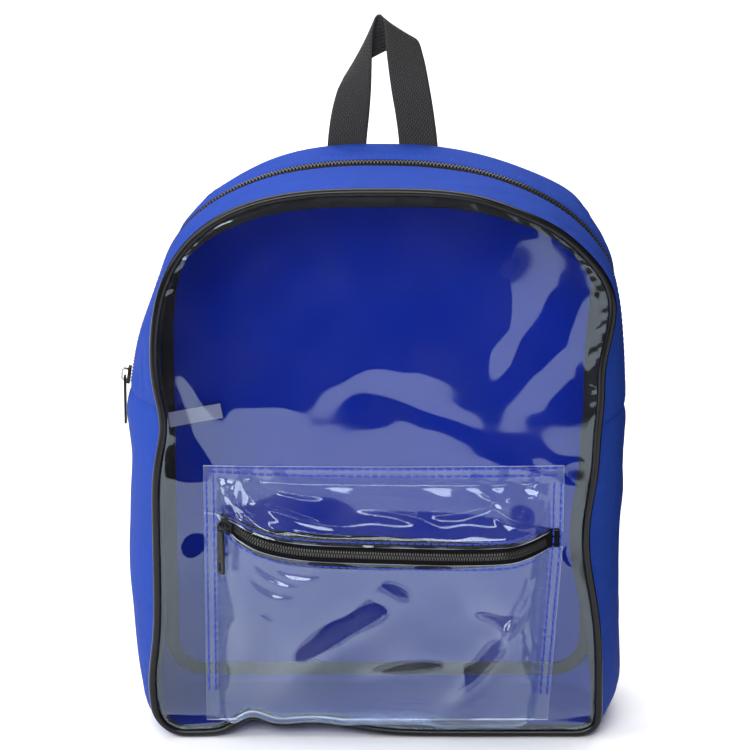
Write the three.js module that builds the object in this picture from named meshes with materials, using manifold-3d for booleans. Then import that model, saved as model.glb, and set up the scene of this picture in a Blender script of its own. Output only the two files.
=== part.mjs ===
// Clear-front backpack: a blue cloth bag with a clear PVC front and a clear zipped front pocket.
// Millimetres, +Z up, the front faces -Y and the bag stands on z = 0.

import * as THREE from 'three';
import { mergeVertices } from 'three/addons/utils/BufferGeometryUtils.js';
import Module from 'manifold-3d';

const wasm = await Module();
wasm.setup();

// Driving dimensions

const DEPTH = 100;
const FRONT_Y = -DEPTH / 2;
const BACK_Y = DEPTH / 2;
const CLOTH = 1.2;
const CLEAR_SHEET = 1.0;
const GAP = 0.3;
const PIPING_RADIUS = 2.5;
const PIPING_SIDES = 8;
const SPRING_HEIGHT = 235;

// Closed outlines of the bag at the front seam, at mid depth and at the back seam.
// corner is the radius of the bottom corners, arch the power of the curve over the top,
// each wave pushes one side out (or in, when negative) round a height,
// and each lift raises the bottom round a place across.
const FRONT_EDGE = {
  y: FRONT_Y,
  halfWidth: 140.5,
  floor: 2.8,
  top: 357.8,
  corner: 18,
  arch: 2.9,
  waves: [
    { side: -1, height: 208, spread: 24, push: -5.5 },
    { side: -1, height: 36, spread: 28, push: 4 },
    { side: 1, height: 349, spread: 10, push: -9 },
    { side: 1, height: 296, spread: 30, push: 9 },
    { side: 1, height: 244, spread: 18, push: -2 },
    { side: 1, height: 205, spread: 25, push: -2.5 },
    { side: 1, height: 135, spread: 48, push: -10 },
    { side: 1, height: 4, spread: 9, push: 4 },
  ],
  lifts: [
    { x: -82, spread: 13, rise: 9 },
    { x: -42, spread: 36, rise: 7.8 },
  ],
};
const MIDDLE = {
  y: 0,
  halfWidth: 157.5,
  floor: -6,
  top: 364.5,
  corner: 26,
  arch: 2.4,
  waves: [
    { side: -1, height: 290, spread: 40, push: -10 },
    { side: -1, height: 205, spread: 25, push: 2 },
    { side: -1, height: 110, spread: 70, push: 3 },
    { side: -1, height: 6, spread: 34, push: -5 },
    { side: 1, height: 318, spread: 34, push: 3.5 },
    { side: 1, height: 262, spread: 30, push: -2 },
    { side: 1, height: 105, spread: 60, push: -2.5 },
    { side: 1, height: 4, spread: 16, push: -4 },
  ],
  lifts: [],
};
const BACK_EDGE = {
  y: BACK_Y,
  halfWidth: 144,
  floor: 2.8,
  top: 366.5,
  corner: 28,
  arch: 2.45,
  waves: [
    { side: -1, height: 352, spread: 16, push: -5 },
    { side: 1, height: 338, spread: 14, push: 8 },
    { side: 1, height: 318, spread: 50, push: 15 },
  ],
  lifts: [],
};

// Steps along half an outline: bottom, corner, side and arch
const STEPS = { bottom: 4, corner: 6, side: 13, arch: 14 };

// Seams across the gusset, where the zipped top meets the lower part
const LEFT_SEAM_HEIGHT = 218;
const RIGHT_SEAM_HEIGHT = 208;
const SEAM_STEP = 0.03;

// Where the gusset's parts lie across its depth, as fractions from the front seam to the back seam
const GUSSET = { front: 0.03, zipper: 0.57, slotHalf: 0.055, back: 0.997, frontSteps: 4, backSteps: 3 };
const LOWER_GUSSET_ROWS = [GUSSET.front, 0.1, 0.24, 0.42, 0.58, 0.76, 0.9, GUSSET.back];

// How far inside its seam the back panel ends
const SEAM_TUCK = 0.5;

// How far the panels crown out between their edges
const FRONT_CROWN = 4;
const BACK_CROWN = 3;

// Binding tape over the seam allowances, measured inwards from the seam
const FRONT_BINDING = { outer: 3.3, thickness: 1.6 };
const BACK_BINDING = { outer: 2.2, inner: 10.6, thickness: 1.6 };
// How far in the front binding reaches, station by station: it lies flat over the top and turns in elsewhere
const FRONT_BINDING_ROWS = [
  { station: 0, inner: 5 },
  { station: 11, inner: 5 },
  { station: 14, inner: 9 },
  { station: 18, inner: 10.5 },
  { station: 24, inner: 10.5 },
  { station: 27, inner: 8 },
  { station: 29, inner: 5.5 },
  { station: 31, inner: 6 },
  { station: 34, inner: 8.5 },
  { station: 37, inner: 10 },
  { station: 42, inner: 9 },
  { station: 44, inner: 7 },
  { station: 46, inner: 5 },
  { station: 53, inner: 5 },
  { station: 56, inner: 5.5 },
  { station: 60, inner: 6 },
  { station: 66, inner: 5 },
  { station: 74, inner: 5 },
];

// Coil zippers: tape and raised chain
const ZIPPER = { tapeHalf: 10, tapeThickness: 0.8, chainHalf: 2.6, chainTopHalf: 2, chainRise: 1.7 };

const TAPE_GAP = 0.4;

// Front pocket
const POCKET = {
  left: -110,
  right: 116,
  rightFoot: 107,
  flange: 8,
  sideRun: 30,
  sideRunFoot: 16,
  sideRound: 0.8,
  leftLift: 15,
  rightLift: 5,
  liftRun: 0.16,
  tilt: -7,
  slotReach: 13,
  slotEdge: 4,
  slotRun: 12,
  slotDraw: 5.1,
  footClear: 0.9,
  footRun: 30,
};
// Rows of the pocket's outer face from its lower edge upwards: height, and reach in front of the panel
const POCKET_BODY_ROWS = [
  { height: 12.5, reach: 0 },
  { height: 13, reach: 4 },
  { height: 14, reach: 10 },
  { height: 18, reach: 15.5 },
  { height: 42, reach: 20.5 },
  { height: 75, reach: 24 },
  { height: 105, reach: 26 },
  { height: 121, reach: 27 },
  { height: 128, reach: 27 },
];
const POCKET_TOP_ROWS = [
  { height: 139, reach: 27 },
  { height: 145, reach: 26.6 },
  { height: 152, reach: 21 },
  { height: 162, reach: 10 },
  { height: 170, reach: 2 },
  { height: 172.5, reach: 0.4 },
  { height: 183, reach: 0 },
];
const POCKET_CHAIN = { height: 133.5, reach: 27 };
const POCKET_ZIPPER_ENDS = [0.045, 0.955];
// Columns of the pocket from its left side to its middle, as fractions of its width
const POCKET_COLUMNS = [0, 0.018, 0.036, 0.055, 0.08, 0.11, 0.15, 0.22, 0.31, 0.4, 0.5];

// Sliders and their pull tabs
const SLIDER = { length: 11, thickness: 2.2, noseHalf: 2.5, widest: 2.75, widestHalf: 3.8, tailHalf: 3.2 };
const CROWN = { width: 2, wall: 1.2, length: 8.4, sink: 0.4 };
const MAIN_CROWN_OPENING = 2.9;
const POCKET_CROWN_OPENING = 3.0;
const PULL = { half: 3.1, neckHalf: 2.5, taper: 15.6, length: 31, thickness: 1.5, round: 1.6, bar: 1.3 };
const PULL_WINDOW = { half: 1.9, foot: 7 };
const PULL_HOLE = { width: 2.6, length: 6, margin: 2 };
const PULL_EYE = { inner: 1.8, wire: 0.6, sides: 6, steps: 14 };
const MAIN_SLIDER_HEIGHT = 225;
const POCKET_SLIDER_AT = 0.072;

const WEBBING = { width: 25, thickness: 1.6 };

// Webbing haul loop, from the left root over the folded top to the right root:
// its outer and inner edges, each as across, behind the bag's back and height
const LOOP_STEPS = 40;
const HAUL_LOOP_ROWS = [
  { outer: [-33, 0, 338], inner: [-8, 0, 338] },
  { outer: [-33, 0, 352], inner: [-8, 0, 352] },
  { outer: [-33, 0, 366], inner: [-8, 0, 366] },
  { outer: [-30.8, 0.5, 384], inner: [-6.3, -0.5, 384] },
  { outer: [-27.4, 1, 398], inner: [-5, -1.5, 402] },
  { outer: [-24.8, 2.5, 404], inner: [-4.5, -2.5, 422] },
  { outer: [-21, 6, 409], inner: [-4, -2.5, 439] },
  { outer: [-13, 11.5, 414], inner: [-2.4, -0.5, 447] },
  { outer: [0, 14.5, 421], inner: [-0.4, 1.5, 449] },
  { outer: [14, 11.5, 428], inner: [1.6, -0.5, 448.5] },
  { outer: [24, 5.5, 432], inner: [3.2, -2.5, 444] },
  { outer: [28.5, 2.5, 421], inner: [4.6, -2.5, 426] },
  { outer: [32, 1, 404], inner: [7.6, -1.5, 402] },
  { outer: [35, 0.3, 386], inner: [10.7, -0.3, 383] },
  { outer: [37.5, 0, 366], inner: [12.7, 0, 366] },
  { outer: [37.8, 0, 352], inner: [12.8, 0, 352] },
  { outer: [37.8, 0, 338], inner: [12.8, 0, 338] },
];

// Padded shoulder straps behind the bag: middle line, width and thickness from the top seam down
const STRAP_ROWS = [
  { across: 67, height: 341, behind: 0, width: 50, thickness: 5 },
  { across: 68, height: 323, behind: 0, width: 55, thickness: 7 },
  { across: 69.5, height: 306, behind: 3, width: 60, thickness: 8 },
  { across: 70, height: 276, behind: 13, width: 60, thickness: 8 },
  { across: 72, height: 240, behind: 21, width: 58, thickness: 8 },
  { across: 76, height: 204, behind: 22, width: 54, thickness: 8 },
  { across: 81, height: 172, behind: 20, width: 48, thickness: 8 },
  { across: 86, height: 144, behind: 18, width: 42, thickness: 6 },
  { across: 90, height: 124, behind: 16, width: 38, thickness: 4 },
];
// Rounded section of a padded strap, as fractions of its half width and half thickness
const PAD_CORNERS = [[-1, -0.4], [-0.9, -1], [0.9, -1], [1, -0.4], [1, 0.4], [0.9, 1], [-0.9, 1], [-1, 0.4]];

// Ladder locks, the loops that hold them, and the lower webbing with its free tail
const LOCK = { width: 33, height: 27, thickness: 3.6, bar: 4, rail: 3.2, belowStrap: 18 };
const LOCK_LOOP = { legs: 16, flare: 0.6, endFlare: 0.8 };
const LOWER_WEBBING = { trim: 0.5, leave: 16.2, tailStart: 21.6, tailEnd: 61.5, flare: 0.6, tailFlare: 5 };
const STRAP_ROOT = { across: 108, height: 28, sewn: 18 };
const ARC_STEPS = 6;
const TURN_EASE = 0.2;

// Gap under what is sewn onto the crowned back
const SEAT_GAP = 0.6;

// Care label sewn at the left back seam
const LABEL = { length: 35, width: 10, thickness: 1, x: -120, height: 186, tilt: 0.19, columns: 4, rows: 2 };

// Finishes
function finish(color, roughness, extra = {}) {
  return new THREE.MeshStandardMaterial({ color, roughness, ...extra });
}
const BLUE_CLOTH = finish(0x2740c0, 0.8);
const CLEAR_PVC = finish(0xdfe6f5, 0.08, { transparent: true, opacity: 0.25 });
const BLACK_PIPING = finish(0x242127, 0.35);
const BLACK_TAPE = finish(0x2b2a2d, 0.85);
const BLACK_COIL = finish(0x29272a, 0.5);
const BLACK_METAL = finish(0x1c1b1d, 0.4, { metalness: 0.6 });
const BLACK_WEBBING = finish(0x323134, 0.85);
const BLACK_PLASTIC = finish(0x18181a, 0.45);
const WHITE_LABEL = finish(0xe6e6e6, 0.8);

// Outlines

function outlineHalf(edge) {
  const { halfWidth, floor, corner, arch, top } = edge;
  const points = [];
  for (let i = 0; i < STEPS.bottom; i += 1) {
    points.push([((halfWidth - corner) * i) / STEPS.bottom, floor]);
  }
  for (let i = 0; i < STEPS.corner; i += 1) {
    const angle = ((i / STEPS.corner) - 1) * (Math.PI / 2);
    points.push([
      halfWidth - corner + corner * Math.cos(angle),
      floor + corner + corner * Math.sin(angle),
    ]);
  }
  const sideStart = floor + corner;
  for (let i = 0; i < STEPS.side; i += 1) {
    points.push([halfWidth, sideStart + ((SPRING_HEIGHT - sideStart) * i) / STEPS.side]);
  }
  for (let i = 0; i <= STEPS.arch; i += 1) {
    const angle = (i / STEPS.arch) * (Math.PI / 2);
    const across = Math.max(Math.cos(angle), 0) ** (2 / arch);
    const up = Math.sin(angle) ** (2 / arch);
    points.push([halfWidth * across, SPRING_HEIGHT + (top - SPRING_HEIGHT) * up]);
  }
  return points;
}

// How far an outline is lifted off the ground at a place along its bottom
function seamLift(edge, x) {
  return edge.lifts
    .reduce((sum, lift) => sum + lift.rise * Math.exp(-(((x - lift.x) / lift.spread) ** 2)), 0);
}

function pushed(edge, side, [across, height]) {
  const push = edge.waves
    .filter((wave) => wave.side === side)
    .reduce((sum, wave) => sum + wave.push * Math.exp(-(((height - wave.height) / wave.spread) ** 2)), 0);
  const x = side * (across + (push * across) / edge.halfWidth);
  const nearFoot = Math.max(1 - (height - edge.floor) / edge.corner, 0);
  return new THREE.Vector3(x, edge.y, height + seamLift(edge, x) * nearFoot);
}

// A whole outline, from the bottom's middle up the right side and down the left
function outline(edge) {
  const half = outlineHalf(edge);
  const right = half.map((point) => pushed(edge, 1, point));
  const left = half.slice(1, -1).reverse().map((point) => pushed(edge, -1, point));
  return [...right, ...left];
}

// Unit normals of an outline, in its plane and pointing out
function outlineNormals(points) {
  return points.map((_, i) => {
    const before = points.at(i - 1);
    const after = points[(i + 1) % points.length];
    const along = after.clone().sub(before).normalize();
    return new THREE.Vector3(along.z, 0, -along.x);
  });
}

function inset(points, distance) {
  const normals = outlineNormals(points);
  return points.map((point, i) => point.clone().addScaledVector(normals[i], -distance));
}

const frontEdge = outline(FRONT_EDGE);
const middleEdge = outline(MIDDLE);
const backEdge = outline(BACK_EDGE);
const STATIONS = frontEdge.length;
const HALF_STATIONS = STATIONS / 2;

function stationPoint(points, t) {
  const low = Math.floor(t);
  const a = points[((low % STATIONS) + STATIONS) % STATIONS];
  const b = points[(((low + 1) % STATIONS) + STATIONS) % STATIONS];
  return a.clone().lerp(b, t - low);
}

// The station where one side of the front seam reaches a height
function stationAtHeight(side, height) {
  for (let i = 0; i < HALF_STATIONS; i += 1) {
    const [from, to] = side > 0 ? [i, i + 1] : [STATIONS - i, STATIONS - i - 1];
    const low = stationPoint(frontEdge, from).z;
    const high = stationPoint(frontEdge, to).z;
    if (low <= height && height < high) {
      return from + ((to - from) * (height - low)) / (high - low);
    }
  }
  throw new Error('height is off the outline');
}

// The gusset's outer face: a parabola across the depth through the three outlines, flat on the ground
function gussetPoint(t, across) {
  const point = stationPoint(frontEdge, t).multiplyScalar((1 - across) * (1 - 2 * across));
  point.addScaledVector(stationPoint(middleEdge, t), 4 * across * (1 - across));
  point.addScaledVector(stationPoint(backEdge, t), across * (2 * across - 1));
  point.z = Math.max(point.z, 0);
  return point;
}

// Solids

function solidGeometry(points, triangles) {
  let volume = 0;
  for (const [a, b, c] of triangles) {
    volume += points[a].dot(points[b].clone().cross(points[c]));
  }
  const index = triangles.flatMap(([a, b, c]) => (volume < 0 ? [a, c, b] : [a, b, c]));
  const geometry = new THREE.BufferGeometry().setFromPoints(points);
  geometry.setIndex(index);
  geometry.computeVertexNormals();
  return geometry;
}

const quad = (a, b, c, d) => [[a, b, c], [a, c, d]];

// Joins section after section, each a closed polygon with the same number of corners
function sweep(sections, closed = false) {
  const corners = sections[0].length;
  const points = sections.flat();
  const triangles = [];
  const spans = closed ? sections.length : sections.length - 1;
  for (let i = 0; i < spans; i += 1) {
    const here = i * corners;
    const there = ((i + 1) % sections.length) * corners;
    for (let k = 0; k < corners; k += 1) {
      const next = (k + 1) % corners;
      triangles.push(...quad(here + k, here + next, there + next, there + k));
    }
  }
  if (!closed) {
    const shape = THREE.ShapeUtils.triangulateShape(flatSection(sections[0]), []);
    const last = (sections.length - 1) * corners;
    shape.forEach(([a, b, c]) => {
      triangles.push([c, b, a], [last + a, last + b, last + c]);
    });
  }
  return solidGeometry(points, triangles);
}

// A section's corners in its own plane
function flatSection(section) {
  const u = section[1].clone().sub(section[0]).normalize();
  const normal = new THREE.Vector3();
  section.forEach((corner, i) => {
    normal.add(corner.clone().cross(section[(i + 1) % section.length]));
  });
  const v = normal.normalize().clone().cross(u);
  return section.map((corner) => new THREE.Vector2(corner.dot(u), corner.dot(v)));
}

function gridNormal(grid, j, i) {
  const column = (row, k) => row[Math.min(Math.max(k, 0), row.length - 1)];
  const rowAt = (k) => grid[Math.min(Math.max(k, 0), grid.length - 1)];
  const along = column(grid[j], i + 1).clone().sub(column(grid[j], i - 1));
  const up = column(rowAt(j + 1), i).clone().sub(column(rowAt(j - 1), i));
  return along.cross(up).normalize();
}

// A wall of even thickness behind a grid of points on its outer face; side (+1 or -1) is where it lies
function wall(grid, thickness, side) {
  const rows = grid.length;
  const columns = grid[0].length;
  const lastRow = rows - 1;
  const lastColumn = columns - 1;
  const inner = grid.map((row, j) => row.map((point, i) => (
    point.clone().addScaledVector(gridNormal(grid, j, i), side * thickness)
  )));
  const points = [...grid.flat(), ...inner.flat()];
  const at = (j, i) => j * columns + i;
  const under = (j, i) => rows * columns + at(j, i);
  const triangles = [];
  for (let j = 0; j < lastRow; j += 1) {
    for (let i = 0; i < lastColumn; i += 1) {
      triangles.push(...quad(at(j, i), at(j, i + 1), at(j + 1, i + 1), at(j + 1, i)));
      triangles.push(...quad(under(j, i), under(j + 1, i), under(j + 1, i + 1), under(j, i + 1)));
    }
  }
  const addEdge = (from, to) => {
    triangles.push(...quad(at(...from), under(...from), under(...to), at(...to)));
  };
  for (let i = 0; i < lastColumn; i += 1) {
    addEdge([0, i], [0, i + 1]);
    addEdge([lastRow, i + 1], [lastRow, i]);
  }
  for (let j = 0; j < lastRow; j += 1) {
    addEdge([j + 1, 0], [j, 0]);
    addEdge([j, lastColumn], [j + 1, lastColumn]);
  }
  return solidGeometry(points, triangles);
}

// A flat strip: sections of width along one vector and thickness along another
function strip(rows) {
  return sweep(rows.map(({ centre, half, rise }) => [
    centre.clone().sub(half).sub(rise),
    centre.clone().add(half).sub(rise),
    centre.clone().add(half).add(rise),
    centre.clone().sub(half).add(rise),
  ]));
}

function joined(first, second) {
  const solids = [first, second].map((geometry) => {
    const bare = geometry.clone();
    bare.deleteAttribute('normal');
    bare.deleteAttribute('uv');
    const merged = mergeVertices(bare);
    return new wasm.Manifold(new wasm.Mesh({
      numProp: 3,
      vertProperties: merged.attributes.position.array,
      triVerts: Uint32Array.from(merged.index.array),
    }));
  });
  const mesh = solids[0].add(solids[1]).getMesh();
  const geometry = new THREE.BufferGeometry();
  geometry.setAttribute('position', new THREE.BufferAttribute(mesh.vertProperties, 3));
  geometry.setIndex(new THREE.BufferAttribute(mesh.triVerts, 1));
  geometry.computeVertexNormals();
  return geometry;
}

const backpack = new THREE.Group();

function piece(name, geometry, material, parent = backpack) {
  const mesh = new THREE.Mesh(geometry, material);
  mesh.name = name;
  parent.add(mesh);
  return mesh;
}

// Gusset

const rightSeam = stationAtHeight(1, RIGHT_SEAM_HEIGHT);
const leftSeam = stationAtHeight(-1, LEFT_SEAM_HEIGHT);

// Whole stations between two places on the outline, with the two places themselves at the ends
function stationsBetween(from, to) {
  const whole = [];
  for (let t = Math.ceil(from + SEAM_STEP); t < to - SEAM_STEP; t += 1) {
    whole.push(t);
  }
  return [from, ...whole, to];
}

function spread(from, to, steps) {
  return Array.from({ length: steps + 1 }, (_, k) => from + ((to - from) * k) / steps);
}

function gussetWall(stations, acrosses) {
  return wall(acrosses.map((across) => stations.map((t) => gussetPoint(t, across))), CLOTH, 1);
}

const lowerStations = stationsBetween(leftSeam - STATIONS, rightSeam);
const topStations = stationsBetween(rightSeam + SEAM_STEP, leftSeam - SEAM_STEP);
const slotFront = GUSSET.zipper - GUSSET.slotHalf;
const slotBack = GUSSET.zipper + GUSSET.slotHalf;

const frontRows = spread(GUSSET.front, slotFront, GUSSET.frontSteps);
const backRows = spread(slotBack, GUSSET.back, GUSSET.backSteps);

piece('lower_gusset', gussetWall(lowerStations, LOWER_GUSSET_ROWS), BLUE_CLOTH);
piece('top_gusset_front', gussetWall(topStations, frontRows), BLUE_CLOTH);
piece('top_gusset_back', gussetWall(topStations, backRows), BLUE_CLOTH);

// Zippers

// Section of a coil zipper: tape with a raised chain, its tape a depth below the face it is sewn behind.
// faceAt gives the place and outward normal on that face, a distance across from the chain;
// chainShare narrows the chain.
function zipperSection(faceAt, depth, chainShare = 1) {
  const { tapeHalf, tapeThickness, chainRise } = ZIPPER;
  const chainHalf = ZIPPER.chainHalf * chainShare;
  const chainTop = ZIPPER.chainTopHalf * chainShare;
  const corners = [
    [-tapeHalf, 0],
    [-chainHalf, 0],
    [-chainTop, chainRise],
    [chainTop, chainRise],
    [chainHalf, 0],
    [tapeHalf, 0],
    [tapeHalf, -tapeThickness],
    [-tapeHalf, -tapeThickness],
  ];
  return corners.map(([across, rise]) => {
    const { centre, out } = faceAt(across);
    return centre.clone().addScaledVector(out, rise - depth);
  });
}

const NUDGE = 0.01;
const STATION_NUDGE = 0.5;

// Place, direction across and outward normal on the gusset's outer face
function gussetFrame(t, across) {
  const centre = gussetPoint(t, across);
  const back = gussetPoint(t, across + NUDGE).sub(gussetPoint(t, across - NUDGE)).normalize();
  const ahead = gussetPoint(t + STATION_NUDGE, across);
  const along = ahead.sub(gussetPoint(t - STATION_NUDGE, across)).normalize();
  const out = back.clone().cross(along).normalize();
  return { centre, along, out };
}

piece('main_zipper', sweep(topStations.map((t) => (
  zipperSection((across) => gussetFrame(t, GUSSET.zipper + across / DEPTH), CLOTH + TAPE_GAP)
))), BLACK_COIL);

// Piping and bindings

// A closed ring along an outline; cornersAt gives the section's corners at a station, as out and behind
function ring(points, cornersAt) {
  const normals = outlineNormals(points);
  return sweep(points.map((point, i) => cornersAt(i).map(([out, behind]) => (
    point.clone().addScaledVector(normals[i], out).add(new THREE.Vector3(0, behind, 0))
  ))), true);
}

const pipingCorners = Array.from({ length: PIPING_SIDES }, (_, k) => {
  const angle = (2 * Math.PI * k) / PIPING_SIDES;
  return [PIPING_RADIUS * Math.cos(angle), PIPING_RADIUS * Math.sin(angle)];
});
piece('front_piping', ring(frontEdge, () => pipingCorners), BLACK_PIPING);

function bindingCorners({ outer, inner, thickness }, behind) {
  return [[-outer, behind], [-outer, behind + thickness], [-inner, behind + thickness], [-inner, behind]];
}

function frontBindingInner(station) {
  const next = FRONT_BINDING_ROWS.findIndex((row) => row.station > station);
  const [a, b] = [FRONT_BINDING_ROWS[next - 1], FRONT_BINDING_ROWS[next]];
  return THREE.MathUtils.mapLinear(station, a.station, b.station, a.inner, b.inner);
}

const sheetHalf = CLEAR_SHEET / 2;
piece('front_binding', ring(frontEdge, (station) => (
  bindingCorners({ ...FRONT_BINDING, inner: frontBindingInner(station) }, sheetHalf + GAP)
)), BLACK_TAPE);
piece('back_binding', ring(backEdge, () => (
  bindingCorners(BACK_BINDING, -BACK_BINDING.thickness - GAP)
)), BLACK_TAPE);

// Panels

const CORNER_STATION = STEPS.bottom + STEPS.corner / 2;
const SHOULDER_STATION = STEPS.bottom + STEPS.corner + STEPS.side + STEPS.arch / 2;

// A grid of points that fills a closed outline, blended from its four sides
function filled(points) {
  const side = (from, to) => {
    const step = Math.sign(to - from);
    return Array.from({ length: Math.abs(to - from) + 1 }, (_, k) => stationPoint(points, from + step * k));
  };
  const bottom = side(-CORNER_STATION, CORNER_STATION);
  const right = side(CORNER_STATION, SHOULDER_STATION);
  const top = side(STATIONS - SHOULDER_STATION, SHOULDER_STATION);
  const left = side(STATIONS - CORNER_STATION, STATIONS - SHOULDER_STATION);
  const columns = bottom.length - 1;
  const rows = right.length - 1;
  return right.map((rightPoint, j) => bottom.map((bottomPoint, i) => {
    const u = i / columns;
    const v = j / rows;
    const point = bottomPoint.clone().multiplyScalar(1 - v).addScaledVector(top[i], v);
    point.addScaledVector(left[j], 1 - u).addScaledVector(rightPoint, u);
    point.addScaledVector(left[0], -(1 - u) * (1 - v)).addScaledVector(right[0], -u * (1 - v));
    point.addScaledVector(left[rows], -(1 - u) * v).addScaledVector(right[rows], -u * v);
    return point;
  }));
}

function crown(edge, height, x, z) {
  const u = Math.min(Math.abs(x) / edge.halfWidth, 1);
  const v = THREE.MathUtils.clamp((z - edge.floor) / (edge.top - edge.floor), 0, 1);
  return height * (1 - u * u) * Math.sqrt(4 * v * (1 - v));
}

const frontFaceY = (x, z) => FRONT_Y - sheetHalf - crown(FRONT_EDGE, FRONT_CROWN, x, z);
const backFaceY = (x, z) => BACK_Y + CLOTH + crown(BACK_EDGE, BACK_CROWN, x, z);

function panelGrid(points, faceY) {
  return filled(points).map((row) => row.map(({ x, z }) => new THREE.Vector3(x, faceY(x, z), z)));
}

const frontGrid = panelGrid(inset(frontEdge, PIPING_RADIUS + GAP), frontFaceY);
const backGrid = panelGrid(inset(backEdge, SEAM_TUCK), backFaceY);
piece('front_panel', wall(frontGrid, CLEAR_SHEET, -1), CLEAR_PVC);
piece('back_panel', wall(backGrid, CLOTH, 1), BLUE_CLOTH);

// Pocket

// Columns across the pocket from one side to the other
const pocketColumns = [
  ...POCKET_COLUMNS,
  ...POCKET_COLUMNS.slice(0, -1).map((column) => 1 - column).reverse(),
];
const pocketWidth = POCKET.right - POCKET.left;

// How far the pocket stands out at a column: nothing on the flanges, then a rounded rise
function sideRise(u, foot) {
  const fromSide = Math.min(u, 1 - u) * pocketWidth - POCKET.flange;
  const run = fromSide / THREE.MathUtils.lerp(POCKET.sideRun, POCKET.sideRunFoot, foot);
  return Math.sin((THREE.MathUtils.clamp(run, 0, 1) * Math.PI) / 2) ** POCKET.sideRound;
}

// The zipper lifts towards both ends; the lift fades away from it, up to the flange and down to the bottom
function zipperLift(u, height) {
  const left = POCKET.leftLift * Math.exp(-((u / POCKET.liftRun) ** 2));
  const right = POCKET.rightLift * Math.exp(-(((1 - u) / POCKET.liftRun) ** 2));
  const slope = POCKET.tilt * (u - 0.5);
  const chain = POCKET_CHAIN.height;
  const lowest = POCKET_BODY_ROWS[0].height;
  const highest = POCKET_TOP_ROWS.at(-1).height;
  const fade = height < chain
    ? (height - lowest) / (chain - lowest)
    : (highest - height) / (highest - chain);
  return (left + right + slope) * THREE.MathUtils.clamp(fade, 0, 1);
}

// How far each edge of the zipper's slot is drawn in at a column, as the slot closes onto the flanges
function slotDraw(u) {
  const fromFlange = (Math.min(u, 1 - u) * pocketWidth - POCKET.flange) / POCKET.slotRun;
  return POCKET.slotDraw * (1 - THREE.MathUtils.clamp(fromFlange, 0, 1));
}

function slotSqueeze(u, fromChain) {
  const size = Math.abs(fromChain);
  const besideChain = size > POCKET.slotEdge && size < POCKET.slotReach;
  return besideChain ? Math.sign(fromChain) * (size - slotDraw(u)) : fromChain;
}

// The pocket's lower edge rides over the lifted seam below it; the lift fades upwards
function footLift(x, height) {
  const lowest = POCKET_BODY_ROWS[0].height;
  const panelFoot = FRONT_EDGE.floor + seamLift(FRONT_EDGE, x) + PIPING_RADIUS + GAP;
  const lift = Math.max(panelFoot + POCKET.footClear - lowest, 0);
  return lift * THREE.MathUtils.clamp(1 - (height - lowest) / POCKET.footRun, 0, 1);
}

function pocketPoint(u, { height, reach }) {
  const chain = POCKET_CHAIN.height;
  const level = chain + slotSqueeze(u, height - chain);
  const lifted = level + zipperLift(u, level);
  const foot = THREE.MathUtils.clamp(1 - lifted / chain, 0, 1);
  const right = THREE.MathUtils.lerp(POCKET.right, POCKET.rightFoot, foot);
  const x = THREE.MathUtils.lerp(POCKET.left, right, u);
  const z = lifted + footLift(x, level);
  const y = frontFaceY(x, z) - GAP - CLEAR_SHEET - reach * sideRise(u, foot);
  return new THREE.Vector3(x, y, z);
}

function pocketWall(rows) {
  return wall(rows.map((row) => pocketColumns.map((u) => pocketPoint(u, row))), CLEAR_SHEET, -1);
}

piece('pocket_body', pocketWall(POCKET_BODY_ROWS), CLEAR_PVC);
piece('pocket_top', pocketWall(POCKET_TOP_ROWS), CLEAR_PVC);

const chainBelow = POCKET_BODY_ROWS.at(-1);
const chainAbove = POCKET_TOP_ROWS[0];

// Place, direction along the chain and outward normal on the pocket's face, above or below the chain
function pocketFrame(u, above = 0) {
  const { height, reach } = POCKET_CHAIN;
  const row = { height: height + above, reach };
  const up = pocketPoint(u, chainAbove).sub(pocketPoint(u, chainBelow));
  const along = pocketPoint(u + NUDGE, row).sub(pocketPoint(u - NUDGE, row)).normalize();
  return { centre: pocketPoint(u, row), along, out: along.clone().cross(up).normalize() };
}

const [zipperStart, zipperEnd] = POCKET_ZIPPER_ENDS;
const zipperColumns = [
  zipperStart,
  ...pocketColumns.filter((u) => u > zipperStart && u < zipperEnd),
  zipperEnd,
];
const slotHalf = chainAbove.height - POCKET_CHAIN.height;
piece('pocket_zipper', sweep(zipperColumns.map((u) => {
  const room = slotHalf - slotDraw(u) - GAP;
  const chainShare = Math.min(room / ZIPPER.chainHalf, 1);
  return zipperSection((across) => pocketFrame(u, across), CLEAR_SHEET + TAPE_GAP, chainShare);
})), BLACK_COIL);

// Sliders and pulls, made with the chain along local X and the outward side along local Z

function sliderGeometry(opening) {
  const { length, thickness, noseHalf, widest, widestHalf, tailHalf } = SLIDER;
  const plan = new THREE.Shape();
  plan.moveTo(-length / 2, -noseHalf);
  plan.lineTo(-widest, -widestHalf);
  plan.lineTo(length / 2, -tailHalf);
  plan.lineTo(length / 2, tailHalf);
  plan.lineTo(-widest, widestHalf);
  plan.lineTo(-length / 2, noseHalf);
  plan.closePath();
  const plate = new THREE.ExtrudeGeometry(plan, { depth: thickness, bevelEnabled: false });
  const half = CROWN.length / 2;
  const inside = half - CROWN.wall;
  const root = thickness - CROWN.sink;
  const under = thickness + opening;
  const over = under + CROWN.wall;
  const arch = new THREE.Shape();
  arch.moveTo(-half, root);
  arch.lineTo(-half, under);
  arch.lineTo(-inside, over);
  arch.lineTo(inside, over);
  arch.lineTo(half, under);
  arch.lineTo(half, root);
  arch.lineTo(inside, root);
  arch.lineTo(inside, under);
  arch.lineTo(-inside, under);
  arch.lineTo(-inside, root);
  arch.closePath();
  const crownArch = new THREE.ExtrudeGeometry(arch, { depth: CROWN.width, bevelEnabled: false });
  crownArch.rotateX(Math.PI / 2);
  crownArch.translate(0, CROWN.width / 2, 0);
  return joined(plate, crownArch);
}

const CURVE_STEPS = 4;

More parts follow.
